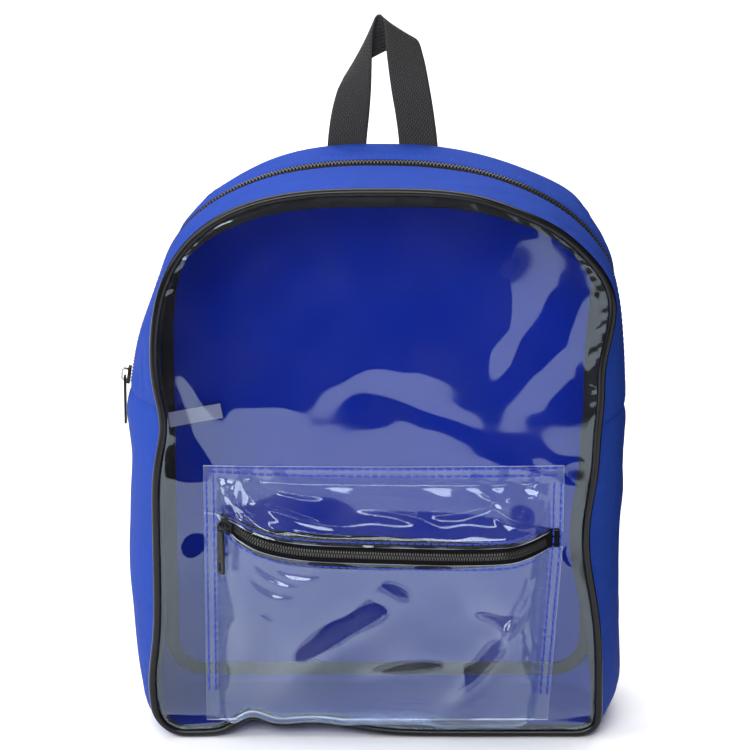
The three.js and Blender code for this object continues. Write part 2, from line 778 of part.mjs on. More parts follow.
function slottedHole(width, length, centreY) {
  const hole = new THREE.Path();
  const half = length / 2 - width / 2;
  hole.absarc(0, centreY + half, width / 2, 0, Math.PI, false);
  hole.absarc(0, centreY - half, width / 2, Math.PI, 2 * Math.PI, false);
  hole.closePath();
  return hole;
}

function paddleShape(topY) {
  const { half, neckHalf, taper, length, round } = PULL;
  const shape = new THREE.Shape();
  shape.moveTo(-neckHalf, topY);
  shape.lineTo(-half, topY - taper);
  shape.lineTo(-half, -length + round);
  shape.absarc(-half + round, -length + round, round, Math.PI, 1.5 * Math.PI, false);
  shape.absarc(half - round, -length + round, round, 1.5 * Math.PI, 2 * Math.PI, false);
  shape.lineTo(half, topY - taper);
  shape.lineTo(neckHalf, topY);
  shape.closePath();
  const holeCentre = -length + PULL_HOLE.margin + PULL_HOLE.length / 2;
  shape.holes.push(slottedHole(PULL_HOLE.width, PULL_HOLE.length, holeCentre));
  return shape;
}

function paddle(shape) {
  const settings = { depth: PULL.thickness, bevelEnabled: false, curveSegments: CURVE_STEPS };
  return new THREE.ExtrudeGeometry(shape, settings).translate(0, 0, -PULL.thickness / 2);
}

// Hangs along local -Y from a bar through the crown; the window takes the crown's foot
function framePull() {
  const shape = paddleShape(PULL.bar / 2);
  const { half, foot } = PULL_WINDOW;
  const window = new THREE.Path();
  window.moveTo(-half, -PULL.bar / 2);
  window.lineTo(half, -PULL.bar / 2);
  window.lineTo(half, -foot);
  window.lineTo(-half, -foot);
  window.closePath();
  shape.holes.push(window);
  return paddle(shape);
}

// Hangs along local -Y from a wire eye round the crown, which runs along local X
function eyePull() {
  const { inner, wire, sides, steps } = PULL_EYE;
  const eyeRadius = inner + wire;
  const eye = new THREE.TorusGeometry(eyeRadius, wire, sides, steps).rotateY(Math.PI / 2);
  return joined(eye, paddle(paddleShape(-eyeRadius)));
}

// A group whose local axes lie along three given directions
function placed(origin, xAxis, yAxis, zAxis) {
  const group = new THREE.Group();
  group.applyMatrix4(new THREE.Matrix4().makeBasis(xAxis, yAxis, zAxis).setPosition(origin));
  backpack.add(group);
  return group;
}

const UP = new THREE.Vector3(0, 0, 1);
const BACKWARD = new THREE.Vector3(0, 1, 0);
// How far a chain stands above the face of the sheet it is sewn behind
const proud = (sheet) => ZIPPER.chainRise - sheet - TAPE_GAP;

// Main slider: on the left of the bag, crown outwards, pull hanging
const mainSliderStation = stationAtHeight(-1, MAIN_SLIDER_HEIGHT);
const mainPlace = gussetFrame(mainSliderStation, GUSSET.zipper);
const mainUp = mainPlace.along.clone().setY(0).normalize().negate();
const mainOut = mainUp.clone().cross(BACKWARD);
const mainSeat = mainPlace.centre.clone().addScaledVector(mainOut, proud(CLOTH) + GAP);
const mainGroup = placed(mainSeat, mainUp, BACKWARD, mainOut);
piece('main_slider', sliderGeometry(MAIN_CROWN_OPENING), BLACK_METAL, mainGroup);
const barReach = Math.hypot(PULL.bar, PULL.thickness) / 2;
const mainPivotDrop = CROWN.length / 2 - CROWN.wall - barReach - GAP;
const mainPivot = mainSeat.clone()
  .addScaledVector(mainOut, SLIDER.thickness + MAIN_CROWN_OPENING / 2)
  .addScaledVector(mainUp, -mainPivotDrop);
const LEFTWARD = new THREE.Vector3(-1, 0, 0);
const mainPullGroup = placed(mainPivot, BACKWARD.clone().negate(), UP, LEFTWARD);
piece('main_pull', framePull(), BLACK_METAL, mainPullGroup);

// Pocket slider: lies along the chain, its pull hanging plumb from its eye
const pocketPlace = pocketFrame(POCKET_SLIDER_AT);
const pocketOut = pocketPlace.out;
const pocketUp = pocketOut.clone().cross(pocketPlace.along);
const pocketSeat = pocketPlace.centre.clone().addScaledVector(pocketOut, proud(CLEAR_SHEET) + GAP);
const pocketGroup = placed(pocketSeat, pocketPlace.along, pocketUp, pocketOut);
piece('pocket_slider', sliderGeometry(POCKET_CROWN_OPENING), BLACK_METAL, pocketGroup);
const pocketPivot = pocketSeat.clone()
  .addScaledVector(pocketOut, SLIDER.thickness + POCKET_CROWN_OPENING + CROWN.wall / 2);
const pocketAxis = pocketPlace.along.clone().setZ(0).normalize();
const pocketPullGroup = placed(pocketPivot, pocketAxis, UP, pocketAxis.clone().cross(UP));
piece('pocket_pull', eyePull(), BLACK_METAL, pocketPullGroup);

// Haul loop

const loopY = backFaceY(0, HAUL_LOOP_ROWS[0].inner[2]) + GAP + WEBBING.thickness / 2;

function loopEdge(edge) {
  const points = HAUL_LOOP_ROWS.map((row) => {
    const [across, behind, height] = row[edge];
    return new THREE.Vector3(across, loopY + behind, height);
  });
  return new THREE.CatmullRomCurve3(points, false, 'centripetal');
}

const loopCurves = [loopEdge('outer'), loopEdge('inner')];

function loopRow(k) {
  const t = k / LOOP_STEPS;
  const [outer, inner] = loopCurves.map((curve) => curve.getPoint(t));
  const tangent = loopCurves[0].getTangent(t).add(loopCurves[1].getTangent(t));
  const half = inner.clone().sub(outer).multiplyScalar(0.5);
  const rise = half.clone().cross(tangent).setLength(WEBBING.thickness / 2);
  return { centre: outer.clone().add(inner).multiplyScalar(0.5), half, rise };
}

piece('haul_loop', strip(spread(0, LOOP_STEPS, LOOP_STEPS).map(loopRow)), BLACK_WEBBING);

// Shoulder straps

function strapPoint({ across, height, behind, thickness }, side) {
  const y = backFaceY(across, height) + SEAT_GAP + thickness / 2 + behind;
  return new THREE.Vector3(side * across, y, height);
}

function strapFrames(side) {
  const centres = STRAP_ROWS.map((row) => strapPoint(row, side));
  return STRAP_ROWS.map((row, i) => {
    const before = centres[Math.max(i - 1, 0)];
    const after = centres[Math.min(i + 1, centres.length - 1)];
    const along = after.clone().sub(before).normalize();
    const half = BACKWARD.clone().cross(along).normalize();
    const rise = along.clone().cross(half).normalize();
    return { ...row, centre: centres[i], along, half, rise };
  });
}

function paddedStrap(side) {
  const sections = strapFrames(side).map(({ centre, half, rise, width, thickness }) => (
    PAD_CORNERS.map(([u, v]) => (
      centre.clone().addScaledVector(half, (u * width) / 2).addScaledVector(rise, (v * thickness) / 2)
    ))
  ));
  return sweep(sections);
}

function ladderLock() {
  const { width, height, thickness, bar, rail } = LOCK;
  const shape = new THREE.Shape();
  shape.moveTo(-width / 2, -height / 2);
  shape.lineTo(width / 2, -height / 2);
  shape.lineTo(width / 2, height / 2);
  shape.lineTo(-width / 2, height / 2);
  shape.closePath();
  const slotHeight = (height - 3 * bar) / 2;
  [-1, 1].forEach((place) => {
    const middle = (place * (slotHeight + bar)) / 2;
    const slot = new THREE.Path();
    slot.moveTo(-width / 2 + rail, middle - slotHeight / 2);
    slot.lineTo(width / 2 - rail, middle - slotHeight / 2);
    slot.lineTo(width / 2 - rail, middle + slotHeight / 2);
    slot.lineTo(-width / 2 + rail, middle + slotHeight / 2);
    slot.closePath();
    shape.holes.push(slot);
  });
  const geometry = new THREE.ExtrudeGeometry(shape, { depth: thickness, bevelEnabled: false });
  return geometry.translate(0, 0, -thickness / 2);
}

// Rows of a webbing strip along a path drawn in the lock's plane; each path point has a place and a normal
function webbingRows(path, toWorld, halfWidth) {
  const direction = (across, up, out) => toWorld(across, up, out).sub(toWorld(0, 0, 0));
  return path.map(({ up, out, normal }) => ({
    centre: toWorld(0, up, out),
    half: direction(halfWidth, 0, 0),
    rise: direction(0, ...normal).setLength(WEBBING.thickness / 2),
  }));
}

// Half a turn over a bar at a height, from the body side to the outer side (or back under it)
function halfTurn(barUp, radius, over) {
  return Array.from({ length: ARC_STEPS + 1 }, (_, k) => {
    const angle = Math.PI * (1 - k / ARC_STEPS);
    const out = radius * Math.cos(angle);
    const up = radius * Math.sin(angle) * (over ? 1 : -1);
    return { up: barUp + up, out, normal: [up, out] };
  });
}

[['left', -1], ['right', 1]].forEach(([name, side]) => {
  piece(`shoulder_strap_${name}`, paddedStrap(side), BLUE_CLOTH);

  const strapEnd = strapFrames(side).at(-1);
  const lockCentre = strapEnd.centre.clone().addScaledVector(strapEnd.along, LOCK.belowStrap);
  const upAxis = strapEnd.along.clone().negate();
  const outAxis = strapEnd.rise;
  const acrossAxis = upAxis.clone().cross(outAxis);
  const lockGroup = placed(lockCentre, acrossAxis, upAxis, outAxis);
  piece(`ladder_lock_${name}`, ladderLock(), BLACK_PLASTIC, lockGroup);

  const toWorld = (across, up, out) => lockCentre.clone()
    .addScaledVector(acrossAxis, across).addScaledVector(upAxis, up).addScaledVector(outAxis, out);
  const barReachRound = Math.hypot(LOCK.thickness, LOCK.bar) / 2;
  const turnRadius = barReachRound + GAP + WEBBING.thickness / 2 + TURN_EASE;
  const halfWebbing = WEBBING.width / 2 - LOWER_WEBBING.trim;

  const topBar = LOCK.height / 2 - LOCK.bar / 2;
  const { legs, flare, endFlare } = LOCK_LOOP;
  const loopPath = [
    { up: topBar + legs, out: -turnRadius - endFlare, normal: [0, -1] },
    { up: topBar + legs / 2, out: -turnRadius - flare, normal: [0, -1] },
    ...halfTurn(topBar, turnRadius, false),
    { up: topBar + legs / 2, out: turnRadius + flare, normal: [0, 1] },
    { up: topBar + legs, out: turnRadius + endFlare, normal: [0, 1] },
  ];
  piece(`lock_loop_${name}`, strip(webbingRows(loopPath, toWorld, halfWebbing)), BLACK_WEBBING);

  const rootRow = (height) => ({
    centre: new THREE.Vector3(
      side * STRAP_ROOT.across,
      backFaceY(STRAP_ROOT.across, height) + SEAT_GAP + WEBBING.thickness / 2,
      height,
    ),
    half: acrossAxis.clone().setY(0).setLength(halfWebbing),
    rise: BACKWARD.clone().multiplyScalar(-WEBBING.thickness / 2),
  });
  const webbingPath = [
    { up: -LOWER_WEBBING.leave, out: -turnRadius - LOWER_WEBBING.flare, normal: [0, -1] },
    ...halfTurn(0, turnRadius, true),
    { up: -LOWER_WEBBING.tailStart, out: turnRadius + LOWER_WEBBING.flare, normal: [0, 1] },
    { up: -LOWER_WEBBING.tailEnd, out: turnRadius + LOWER_WEBBING.tailFlare, normal: [0, 1] },
  ];
  piece(`strap_webbing_${name}`, strip([
    rootRow(STRAP_ROOT.height - STRAP_ROOT.sewn),
    rootRow(STRAP_ROOT.height),
    ...webbingRows(webbingPath, toWorld, halfWebbing),
  ]), BLACK_WEBBING);
});

// Care label

const labelSize = [LABEL.length, LABEL.thickness, LABEL.width];
const label = piece('label', new THREE.BoxGeometry(...labelSize, LABEL.columns, 1, LABEL.rows), WHITE_LABEL);
label.rotation.y = -LABEL.tilt;
const bindingFaceY = BACK_Y - GAP - BACK_BINDING.thickness;
label.position.set(LABEL.x, bindingFaceY - GAP - LABEL.thickness / 2, LABEL.height);

// Centre the whole on the origin's floor
backpack.updateMatrixWorld(true);
const box = new THREE.Box3().setFromObject(backpack, true);
backpack.position.set(-(box.min.x + box.max.x) / 2, -(box.min.y + box.max.y) / 2, -box.min.z);

export default backpack;
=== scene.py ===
import math
from types import SimpleNamespace as Sizes

import bmesh
import bpy
import numpy as np
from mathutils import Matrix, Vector


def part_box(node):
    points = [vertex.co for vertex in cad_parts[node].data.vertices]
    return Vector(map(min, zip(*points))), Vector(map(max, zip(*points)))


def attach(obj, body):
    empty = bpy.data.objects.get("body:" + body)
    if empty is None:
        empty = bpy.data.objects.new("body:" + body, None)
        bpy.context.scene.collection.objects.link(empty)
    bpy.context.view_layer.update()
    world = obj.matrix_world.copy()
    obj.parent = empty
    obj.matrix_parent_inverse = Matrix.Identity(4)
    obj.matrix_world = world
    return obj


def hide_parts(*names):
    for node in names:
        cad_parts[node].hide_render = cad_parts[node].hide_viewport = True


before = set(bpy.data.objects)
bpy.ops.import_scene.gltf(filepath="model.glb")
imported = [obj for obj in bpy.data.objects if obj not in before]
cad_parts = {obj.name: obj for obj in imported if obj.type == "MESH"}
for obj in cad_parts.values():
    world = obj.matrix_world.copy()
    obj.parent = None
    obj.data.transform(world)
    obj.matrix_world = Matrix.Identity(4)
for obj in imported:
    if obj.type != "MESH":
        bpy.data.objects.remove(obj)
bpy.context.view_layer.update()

MM = 0.001


def table(columns, *rows):
    """Rows of a short table; columns holds their names."""
    names = columns.split()
    return [Sizes(**dict(zip(names, row))) for row in rows]


def column(rows, name):
    return np.array([getattr(row, name) for row in rows], dtype=float)


# Sizes of the bag, as the solids have them, except that cloth and tape reach their seams

DEPTH = 100
FRONT_Y = -DEPTH / 2
BACK_Y = DEPTH / 2
CLOTH = 1.2
CLEAR_SHEET = 1.0
GAP = 0.3
TAPE_GAP = 0.4
SEAT_GAP = 0.6
PIPING_RADIUS = 2.5
SPRING_HEIGHT = 235
SEAM_TUCK = 0.5
FRONT_CROWN = 4
BACK_CROWN = 3

# Outlines of the front seam, the gusset's middle and the back seam
# Waves push a side out, and lifts raise the foot off the ground
FRONT_EDGE = Sizes(
    y=FRONT_Y, half_width=140.5, floor=2.8, top=357.8, corner=18, arch=2.9,
    waves=table(
        "side height spread push",
        (-1, 208, 24, -5.5),
        (-1, 36, 28, 4),
        (1, 349, 10, -9),
        (1, 296, 30, 9),
        (1, 244, 18, -2),
        (1, 205, 25, -2.5),
        (1, 135, 48, -10),
        (1, 4, 9, 4),
    ),
    lifts=table("x spread rise", (-82, 13, 9), (-42, 36, 7.8)),
)
MIDDLE = Sizes(
    y=0, half_width=157.5, floor=-6, top=364.5, corner=26, arch=2.4,
    waves=table(
        "side height spread push",
        (-1, 290, 40, -10),
        (-1, 205, 25, 2),
        (-1, 110, 70, 3),
        (-1, 6, 34, -5),
        (1, 318, 34, 3.5),
        (1, 262, 30, -2),
        (1, 105, 60, -2.5),
        (1, 4, 16, -4),
    ),
    lifts=(),
)
BACK_EDGE = Sizes(
    y=BACK_Y, half_width=144, floor=2.8, top=366.5, corner=28, arch=2.45,
    waves=table(
        "side height spread push",
        (-1, 352, 16, -5),
        (1, 338, 14, 8),
        (1, 318, 50, 15),
    ),
    lifts=(),
)

# Stations along half an outline: where the bottom, the corner and the side end, and the top's middle
BOTTOM_END, CORNER_END, SIDE_END, TOP = 4, 10, 23, 37
STATIONS = 2 * TOP
CORNER_STATION, SHOULDER_STATION = 7, 30
LEFT_SEAM_HEIGHT, RIGHT_SEAM_HEIGHT = 218, 208
SEAM_STEP = 0.0005
# Short steps for measuring directions
NEARBY = Sizes(outline=0.05, station=0.25, share=0.01)

# Shares of the gusset's depth
GUSSET = Sizes(front=0.03, zipper=0.57, slot_half=0.055, slot_drawn=0.018, back=1)
FRONT_BINDING = Sizes(outer=2.5, thickness=1.6)
BACK_BINDING = Sizes(outer=2.2, inner=10.6, thickness=1.6)
FRONT_BINDING_ROWS = table(
    "station inner",
    (0, 5), (11, 5), (14, 9), (18, 10.5), (24, 10.5), (27, 8), (29, 5.5), (31, 6), (34, 8.5),
    (37, 10), (42, 9), (44, 7), (46, 4.5), (53, 4), (56, 5.5), (60, 6), (66, 5), (74, 5),
)
ZIPPER = Sizes(tape_half=10, tape_thickness=0.8, chain_half=2.6)

POCKET = Sizes(
    left=-110, right=116, right_foot=107, flange=8, side_run=30, side_run_foot=16, side_round=0.8,
    left_lift=15, right_lift=5, lift_run=0.16, tilt=-7,
    slot_reach=13, slot_edge=4, slot_run=12, slot_draw=5.1, foot_clear=0.9, foot_run=30,
)
POCKET_WIDTH = POCKET.right - POCKET.left
POCKET_BODY_ROWS = table(
    "height reach",
    (12.5, 0), (13, 4), (14, 10), (18, 15.5), (42, 20.5), (75, 24), (105, 26), (121, 27), (128, 27),
)
POCKET_TOP_ROWS = table(
    "height reach",
    (139, 27.3), (142, 26.7), (145, 26), (152, 20.8), (162, 10), (170, 2), (172.5, 0.4), (183, 0),
)
POCKET_CHAIN = Sizes(height=133.5, reach=27, start=0.045, end=0.955)

WEBBING = Sizes(width=25, thickness=1.6)
HAUL_LOOP = table(
    "outer inner",
    ((-33, 0, 338), (-8, 0, 338)),
    ((-33, 0, 352), (-8, 0, 352)),
    ((-33, 0, 366), (-8, 0, 366)),
    ((-30.8, 0.5, 384), (-6.3, -0.5, 384)),
    ((-27.4, 1, 398), (-5, -1.5, 402)),
    ((-24.8, 2.5, 404), (-4.5, -2.5, 422)),
    ((-21, 6, 409), (-4, -2.5, 439)),
    ((-13, 11.5, 414), (-2.4, -0.5, 447)),
    ((0, 14.5, 421), (-0.4, 1.5, 449)),
    ((14, 11.5, 428), (1.6, -0.5, 448.5)),
    ((24, 5.5, 432), (3.2, -2.5, 444)),
    ((28.5, 2.5, 421), (4.6, -2.5, 426)),
    ((32, 1, 404), (7.6, -1.5, 402)),
    ((35, 0.3, 386), (10.7, -0.3, 383)),
    ((37.5, 0, 366), (12.7, 0, 366)),
    ((37.8, 0, 352), (12.8, 0, 352)),
    ((37.8, 0, 338), (12.8, 0, 338)),
)
STRAP_ROWS = table(
    "across height behind width thickness",
    (67, 341, 0, 50, 5),
    (68, 323, 0, 55, 7),
    (69.5, 306, 3, 60, 8),
    (70, 276, 13, 60, 8),
    (72, 240, 21, 58, 8),
    (76, 204, 22, 54, 8),
    (81, 172, 20, 48, 8),
    (86, 144, 18, 42, 6),
    (90, 124, 16, 38, 4),
)
LOCK = Sizes(height=27, thickness=3.6, bar=4, below_strap=18)
LOCK_LOOP = Sizes(legs=16, flare=0.6, end_flare=0.8)
LOWER_WEBBING = Sizes(trim=0.5, leave=16.2, tail_start=21.6, tail_end=61.5, flare=0.6, tail_flare=5)
STRAP_ROOT = Sizes(across=108, height=28, sewn=18)
TURN_EASE = 0.2
LABEL = Sizes(
    length=35, width=10, thickness=1, ribbon=0.5, x=-120, height=186, tilt=0.19, curl=2.2, flat_to=-0.1,
)

label_low, label_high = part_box("label")
piping_low, piping_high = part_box("front_piping")
OFFSET = np.array([
    (label_low[0] + label_high[0]) / 2 / MM - LABEL.x,
    (piping_low[1] + piping_high[1]) / 2 / MM - FRONT_Y,
    0.0,
])


# Camera, as the photograph was taken

CAMERA = Sizes(
    elevation=17, distance=2200, lens=165, sensor=36, target_height=190, aim=(-2.56, 10.35, 223.9),
)


def placed(point):
    """A point of the model's own frame as a vector in metres."""
    return Vector((np.asarray(point, dtype=float) + OFFSET) * MM)


def link(name, data):
    """A new object in the scene."""
    obj = bpy.data.objects.new(name, data)
    bpy.context.collection.objects.link(obj)
    return obj


elevation = math.radians(CAMERA.elevation)
camera_spot = placed((
    0,
    -CAMERA.distance * math.cos(elevation),
    CAMERA.target_height + CAMERA.distance * math.sin(elevation),
))
camera_data = bpy.data.cameras.new("camera")
camera_data.lens = CAMERA.lens
camera_data.sensor_width = CAMERA.sensor
camera = link("camera", camera_data)
camera.location = camera_spot
camera.rotation_euler = (placed(CAMERA.aim) - camera_spot).to_track_quat("-Z", "Y").to_euler()
bpy.context.scene.camera = camera


# Outlines and faces of the bag

def bell(distance, reach):
    """1 in the middle, fading to nothing past a reach."""
    return np.exp(-((distance / reach) ** 2))


def ramp(distance, run):
    """0 up to the start of a run, 1 from its end."""
    return np.clip(distance / run, 0, 1)


def half_outline(edge, t):
    """Across and height of half an outline at stations t, from the bottom's middle to the top's."""
    flat = edge.half_width - edge.corner
    side_start = edge.floor + edge.corner
    power = 2 / edge.arch
    turn = ((t - BOTTOM_END) / (CORNER_END - BOTTOM_END) - 1) * math.pi / 2
    climb = (t - CORNER_END) / (SIDE_END - CORNER_END)
    sweep_angle = ramp(t - SIDE_END, TOP - SIDE_END) * math.pi / 2
    parts = [t < BOTTOM_END, t < CORNER_END, t < SIDE_END]
    across = np.select(
        parts,
        [flat * t / BOTTOM_END, flat + edge.corner * np.cos(turn), np.full_like(t, edge.half_width)],
        edge.half_width * np.maximum(np.cos(sweep_angle), 0) ** power,
    )
    height = np.select(
        parts,
        [np.full_like(t, edge.floor), side_start + edge.corner * np.sin(turn),
         side_start + (SPRING_HEIGHT - side_start) * climb],
        SPRING_HEIGHT + (edge.top - SPRING_HEIGHT) * np.sin(sweep_angle) ** power,
    )
    return across, height


def seam_lift(edge, x):
    """How far an outline is lifted off the ground at a place along its bottom."""
    return sum(lift.rise * bell(x - lift.x, lift.spread) for lift in edge.lifts)


def outline(edge, t):
    """Points round an outline at stations t, the right side first."""
    t = np.mod(np.asarray(t, dtype=float), STATIONS)
    side = np.where(t <= TOP, 1, -1)
    across, height = half_outline(edge, np.where(t <= TOP, t, STATIONS - t))
    push = np.zeros_like(t)
    for wave in edge.waves:
        swell = wave.push * bell(height - wave.height, wave.spread)
        push += np.where(side == wave.side, swell, 0)
    x = side * across * (1 + push / edge.half_width)
    near_foot = np.maximum(1 - (height - edge.floor) / edge.corner, 0)
    height = height + near_foot * seam_lift(edge, x)
    return np.stack([x, np.full_like(x, edge.y), height], axis=-1)


def unit(vectors):
    return vectors / np.maximum(np.linalg.norm(vectors, axis=-1, keepdims=True), 1e-9)


def outline_normals(edge, t):
    """Unit normals of an outline, in its plane and pointing out."""
    along = unit(outline(edge, t + NEARBY.outline) - outline(edge, t - NEARBY.outline))
    return np.stack([along[..., 2], np.zeros_like(along[..., 0]), -along[..., 0]], axis=-1)


def side_station(side, height):
    """The station where one side of the front seam reaches a height."""
    start = FRONT_EDGE.floor + FRONT_EDGE.corner
    t = CORNER_END + (SIDE_END - CORNER_END) * (height - start) / (SPRING_HEIGHT - start)
    return t if side > 0 else STATIONS - t


def gusset(t, across):
    """The gusset's outer face: a parabola through the three outlines, flat on the ground."""
    t, across = np.broadcast_arrays(np.asarray(t, dtype=float), np.asarray(across, dtype=float))
    a = across[..., None]
    point = outline(FRONT_EDGE, t) * (1 - a) * (1 - 2 * a)
    point = point + outline(MIDDLE, t) * 4 * a * (1 - a) + outline(BACK_EDGE, t) * a * (2 * a - 1)
    point[..., 2] = np.maximum(point[..., 2], 0)
    return point


def gusset_frame(t, across):
    """Place, direction along and outward normal on the gusset."""
    back = unit(gusset(t, across + NEARBY.share) - gusset(t, across - NEARBY.share))
    along = unit(gusset(t + NEARBY.station, across) - gusset(t - NEARBY.station, across))
    return gusset(t, across), along, unit(np.cross(back, along))


def crown(edge, height, x, z):
    """How far a panel stands out of its seam's plane."""
    u = np.minimum(np.abs(x) / edge.half_width, 1)
    v = ramp(z - edge.floor, edge.top - edge.floor)
    return height * (1 - u * u) * np.sqrt(4 * v * (1 - v))


def front_face(x, z):
    return FRONT_Y - CLEAR_SHEET / 2 - crown(FRONT_EDGE, FRONT_CROWN, x, z)


def back_face(x, z):
    return BACK_Y + CLOTH + crown(BACK_EDGE, BACK_CROWN, x, z)


def filled(edge, inset, columns, rows):
    """Points that fill an outline drawn in by a distance, blended from its four sides."""
    def side(start, end, count):
        t = np.linspace(start, end, count + 1)
        return outline(edge, t) - outline_normals(edge, t) * inset

    bottom = side(-CORNER_STATION, CORNER_STATION, columns)[None, :]
    right = side(CORNER_STATION, SHOULDER_STATION, rows)[:, None]
    top = side(STATIONS - SHOULDER_STATION, SHOULDER_STATION, columns)[None, :]
    left = side(STATIONS - CORNER_STATION, STATIONS - SHOULDER_STATION, rows)[:, None]
    u, v = grid_shares(rows + 1, columns + 1)
    u, v = u[..., None], v[..., None]
    grid = bottom * (1 - v) + top * v + left * (1 - u) + right * u
    grid = grid - left[:1] * (1 - u) * (1 - v) - right[:1] * u * (1 - v)
    return grid - left[-1:] * (1 - u) * v - right[-1:] * u * v


def grid_shares(rows, columns):
    """Shares from 0 to 1 along a grid's columns and rows."""
    return np.linspace(0, 1, columns)[None, :], np.linspace(0, 1, rows)[:, None]


def smooth_rows(rows, count):
    """A table's rows sampled along a smooth curve through them."""
    names = list(vars(rows[0]))
    values = np.stack([column(rows, name) for name in names], axis=1)
    values = np.concatenate([2 * values[:1] - values[1:2], values, 2 * values[-1:] - values[-2:-1]])
    place = np.linspace(0, len(rows) - 1, count)
    first = np.minimum(place.astype(int), len(rows) - 2)
    f = (place - first)[:, None]
    a, b, c, d = (values[first + k] for k in range(4))
    curve = b + 0.5 * f * (c - a + f * (2 * a - 5 * b + 4 * c - d + f * (3 * (b - c) + d - a)))
    return Sizes(**dict(zip(names, curve.T)))


def pocket_point(u, height, reach):
    """The pocket's outer face at a share of its width, for a row's height and reach."""
    u, height, reach = np.broadcast_arrays(u, np.asarray(height, dtype=float), reach)
    from_flange = np.minimum(u, 1 - u) * POCKET_WIDTH - POCKET.flange
    chain = POCKET_CHAIN.height
    offset = height - chain
    size = np.abs(offset)
    draw = np.where(u < 0.5, POCKET.slot_draw, 0) * (1 - ramp(from_flange, POCKET.slot_run))
    beside = (size > POCKET.slot_edge) & (size < POCKET.slot_reach)
    level = chain + np.where(beside, np.sign(offset) * (size - draw), offset)
    lift = POCKET.left_lift * bell(u, POCKET.lift_run)
    lift = lift + POCKET.right_lift * bell(1 - u, POCKET.lift_run) + POCKET.tilt * (u - 0.5)
    lowest, highest = POCKET_BODY_ROWS[0].height, POCKET_TOP_ROWS[-1].height
    below, above = ramp(level - lowest, chain - lowest), ramp(highest - level, highest - chain)
    lifted = level + lift * np.where(level < chain, below, above)
    foot = 1 - ramp(lifted, chain)
    right = POCKET.right + (POCKET.right_foot - POCKET.right) * foot
    x = POCKET.left + (right - POCKET.left) * u
    panel_foot = FRONT_EDGE.floor + seam_lift(FRONT_EDGE, x) + PIPING_RADIUS + GAP
    over_seam = np.maximum(panel_foot + POCKET.foot_clear - lowest, 0)
    z = lifted + over_seam * (1 - ramp(level - lowest, POCKET.foot_run))
    run = POCKET.side_run + (POCKET.side_run_foot - POCKET.side_run) * foot
    rise = np.sin(ramp(from_flange, run) * math.pi / 2) ** POCKET.side_round
    y = front_face(x, z) - GAP - CLEAR_SHEET - reach * rise
    return np.stack([x, y, z], axis=-1)


def pocket_frame(u, above=0.0):
    """Place, direction along the chain and outward normal on the pocket's face."""
    height, reach = POCKET_CHAIN.height + above, POCKET_CHAIN.reach
    up = pocket_point(u, POCKET_TOP_ROWS[0].height, reach)
    up = up - pocket_point(u, POCKET_BODY_ROWS[-1].height, reach)
    along = pocket_point(u + NEARBY.share, height, reach) - pocket_point(u - NEARBY.share, height, reach)
    return pocket_point(u, height, reach), unit(along), unit(np.cross(unit(along), up))


# Waves and creases

WAVES = Sizes(count=5, shortest=0.6, longest=1.7, scale=1.4)


def waviness(distance, length, seed):
    """A repeatable uneven wave along a distance, about -1 to 1, with waves about as long as length."""
    random = np.random.default_rng(seed)
    stretches = random.uniform(WAVES.shortest, WAVES.longest, WAVES.count)
    phases = random.uniform(0, 2 * math.pi, WAVES.count)
    total = np.zeros_like(distance, dtype=float)
    for stretch, phase in zip(stretches, phases):
        total = total + np.sin(2 * math.pi * distance / (length * stretch) + phase)
    return total / math.sqrt(WAVES.count) / WAVES.scale


def slow_waves(rows, x, z):
    """Waves that run across a sheet; a row's x and z say which way."""
    return sum(row.rise * waviness(row.x * x + row.z * z, row.length, row.seed) for row in rows)


def relief(x, z, dents=(), creases=()):
    """How far dents and creases stand out of a sheet, in millimetres."""
    total = np.zeros_like(x)
    for dent in dents:
        c, s = math.cos(math.radians(dent.turn)), math.sin(math.radians(dent.turn))
        along = (x - dent.x) * c + (z - dent.z) * s
        aside = (z - dent.z) * c - (x - dent.x) * s
        total = total + dent.rise * bell(along, dent.long) * bell(aside, dent.short)
    for crease in creases:
        dx, dz = crease.x2 - crease.x1, crease.z2 - crease.z1
        length = math.hypot(dx, dz)
        share = ramp((x - crease.x1) * dx + (z - crease.z1) * dz, length ** 2)
        bow = crease.bow * 4 * share * (1 - share)
        aside = ((z - crease.z1) * dx - (x - crease.x1) * dz) / length - bow
        total = total + crease.rise * np.sin(math.pi * share) * bell(aside, crease.width)
    return total


# Meshes

SHARP = 50


def build(name, points, faces, material, uv=None, sharp=SHARP, others=()):
    """An object of the given points and faces, with its weave coordinates in millimetres.
    others holds further finishes, each with the first face that takes it."""
    mesh = bpy.data.meshes.new(name)
    mesh.from_pydata(((np.asarray(points) + OFFSET) * MM).tolist(), [], faces)
    solid = bmesh.new()
    solid.from_mesh(mesh)
    bmesh.ops.recalc_face_normals(solid, faces=solid.faces)
    solid.to_mesh(mesh)
    solid.free()
    if uv is not None:
        layer = mesh.uv_layers.new(name="weave")
        corners = np.empty(len(mesh.loops), dtype=np.int32)
        mesh.loops.foreach_get("vertex_index", corners)
        layer.data.foreach_set("uv", np.asarray(uv, dtype=np.float32)[corners].ravel())
    mesh.shade_smooth()
    mesh.set_sharp_from_angle(angle=math.radians(sharp))
    mesh.materials.append(material)
    finishes = np.zeros(len(mesh.polygons), dtype=np.int32)
    for number, (first, other) in enumerate(others, start=1):
        mesh.materials.append(other)
        finishes[first:] = number
    mesh.polygons.foreach_set("material_index", finishes)
    return link(name, mesh)


def lengths(points):
    """Distances of a path's points from its start."""
    return np.concatenate([[0], np.cumsum(np.linalg.norm(np.diff(points, axis=0), axis=1))])


def along_path(points, places):
    """Values at distances along a path; points may hold any columns after the first three."""
    run = lengths(points[:, :3])
    return np.stack([np.interp(places, run, points[:, k]) for k in range(points.shape[1])], axis=-1)


def grid_normals(grid):
    return unit(np.cross(np.gradient(grid, axis=1), np.gradient(grid, axis=0)))


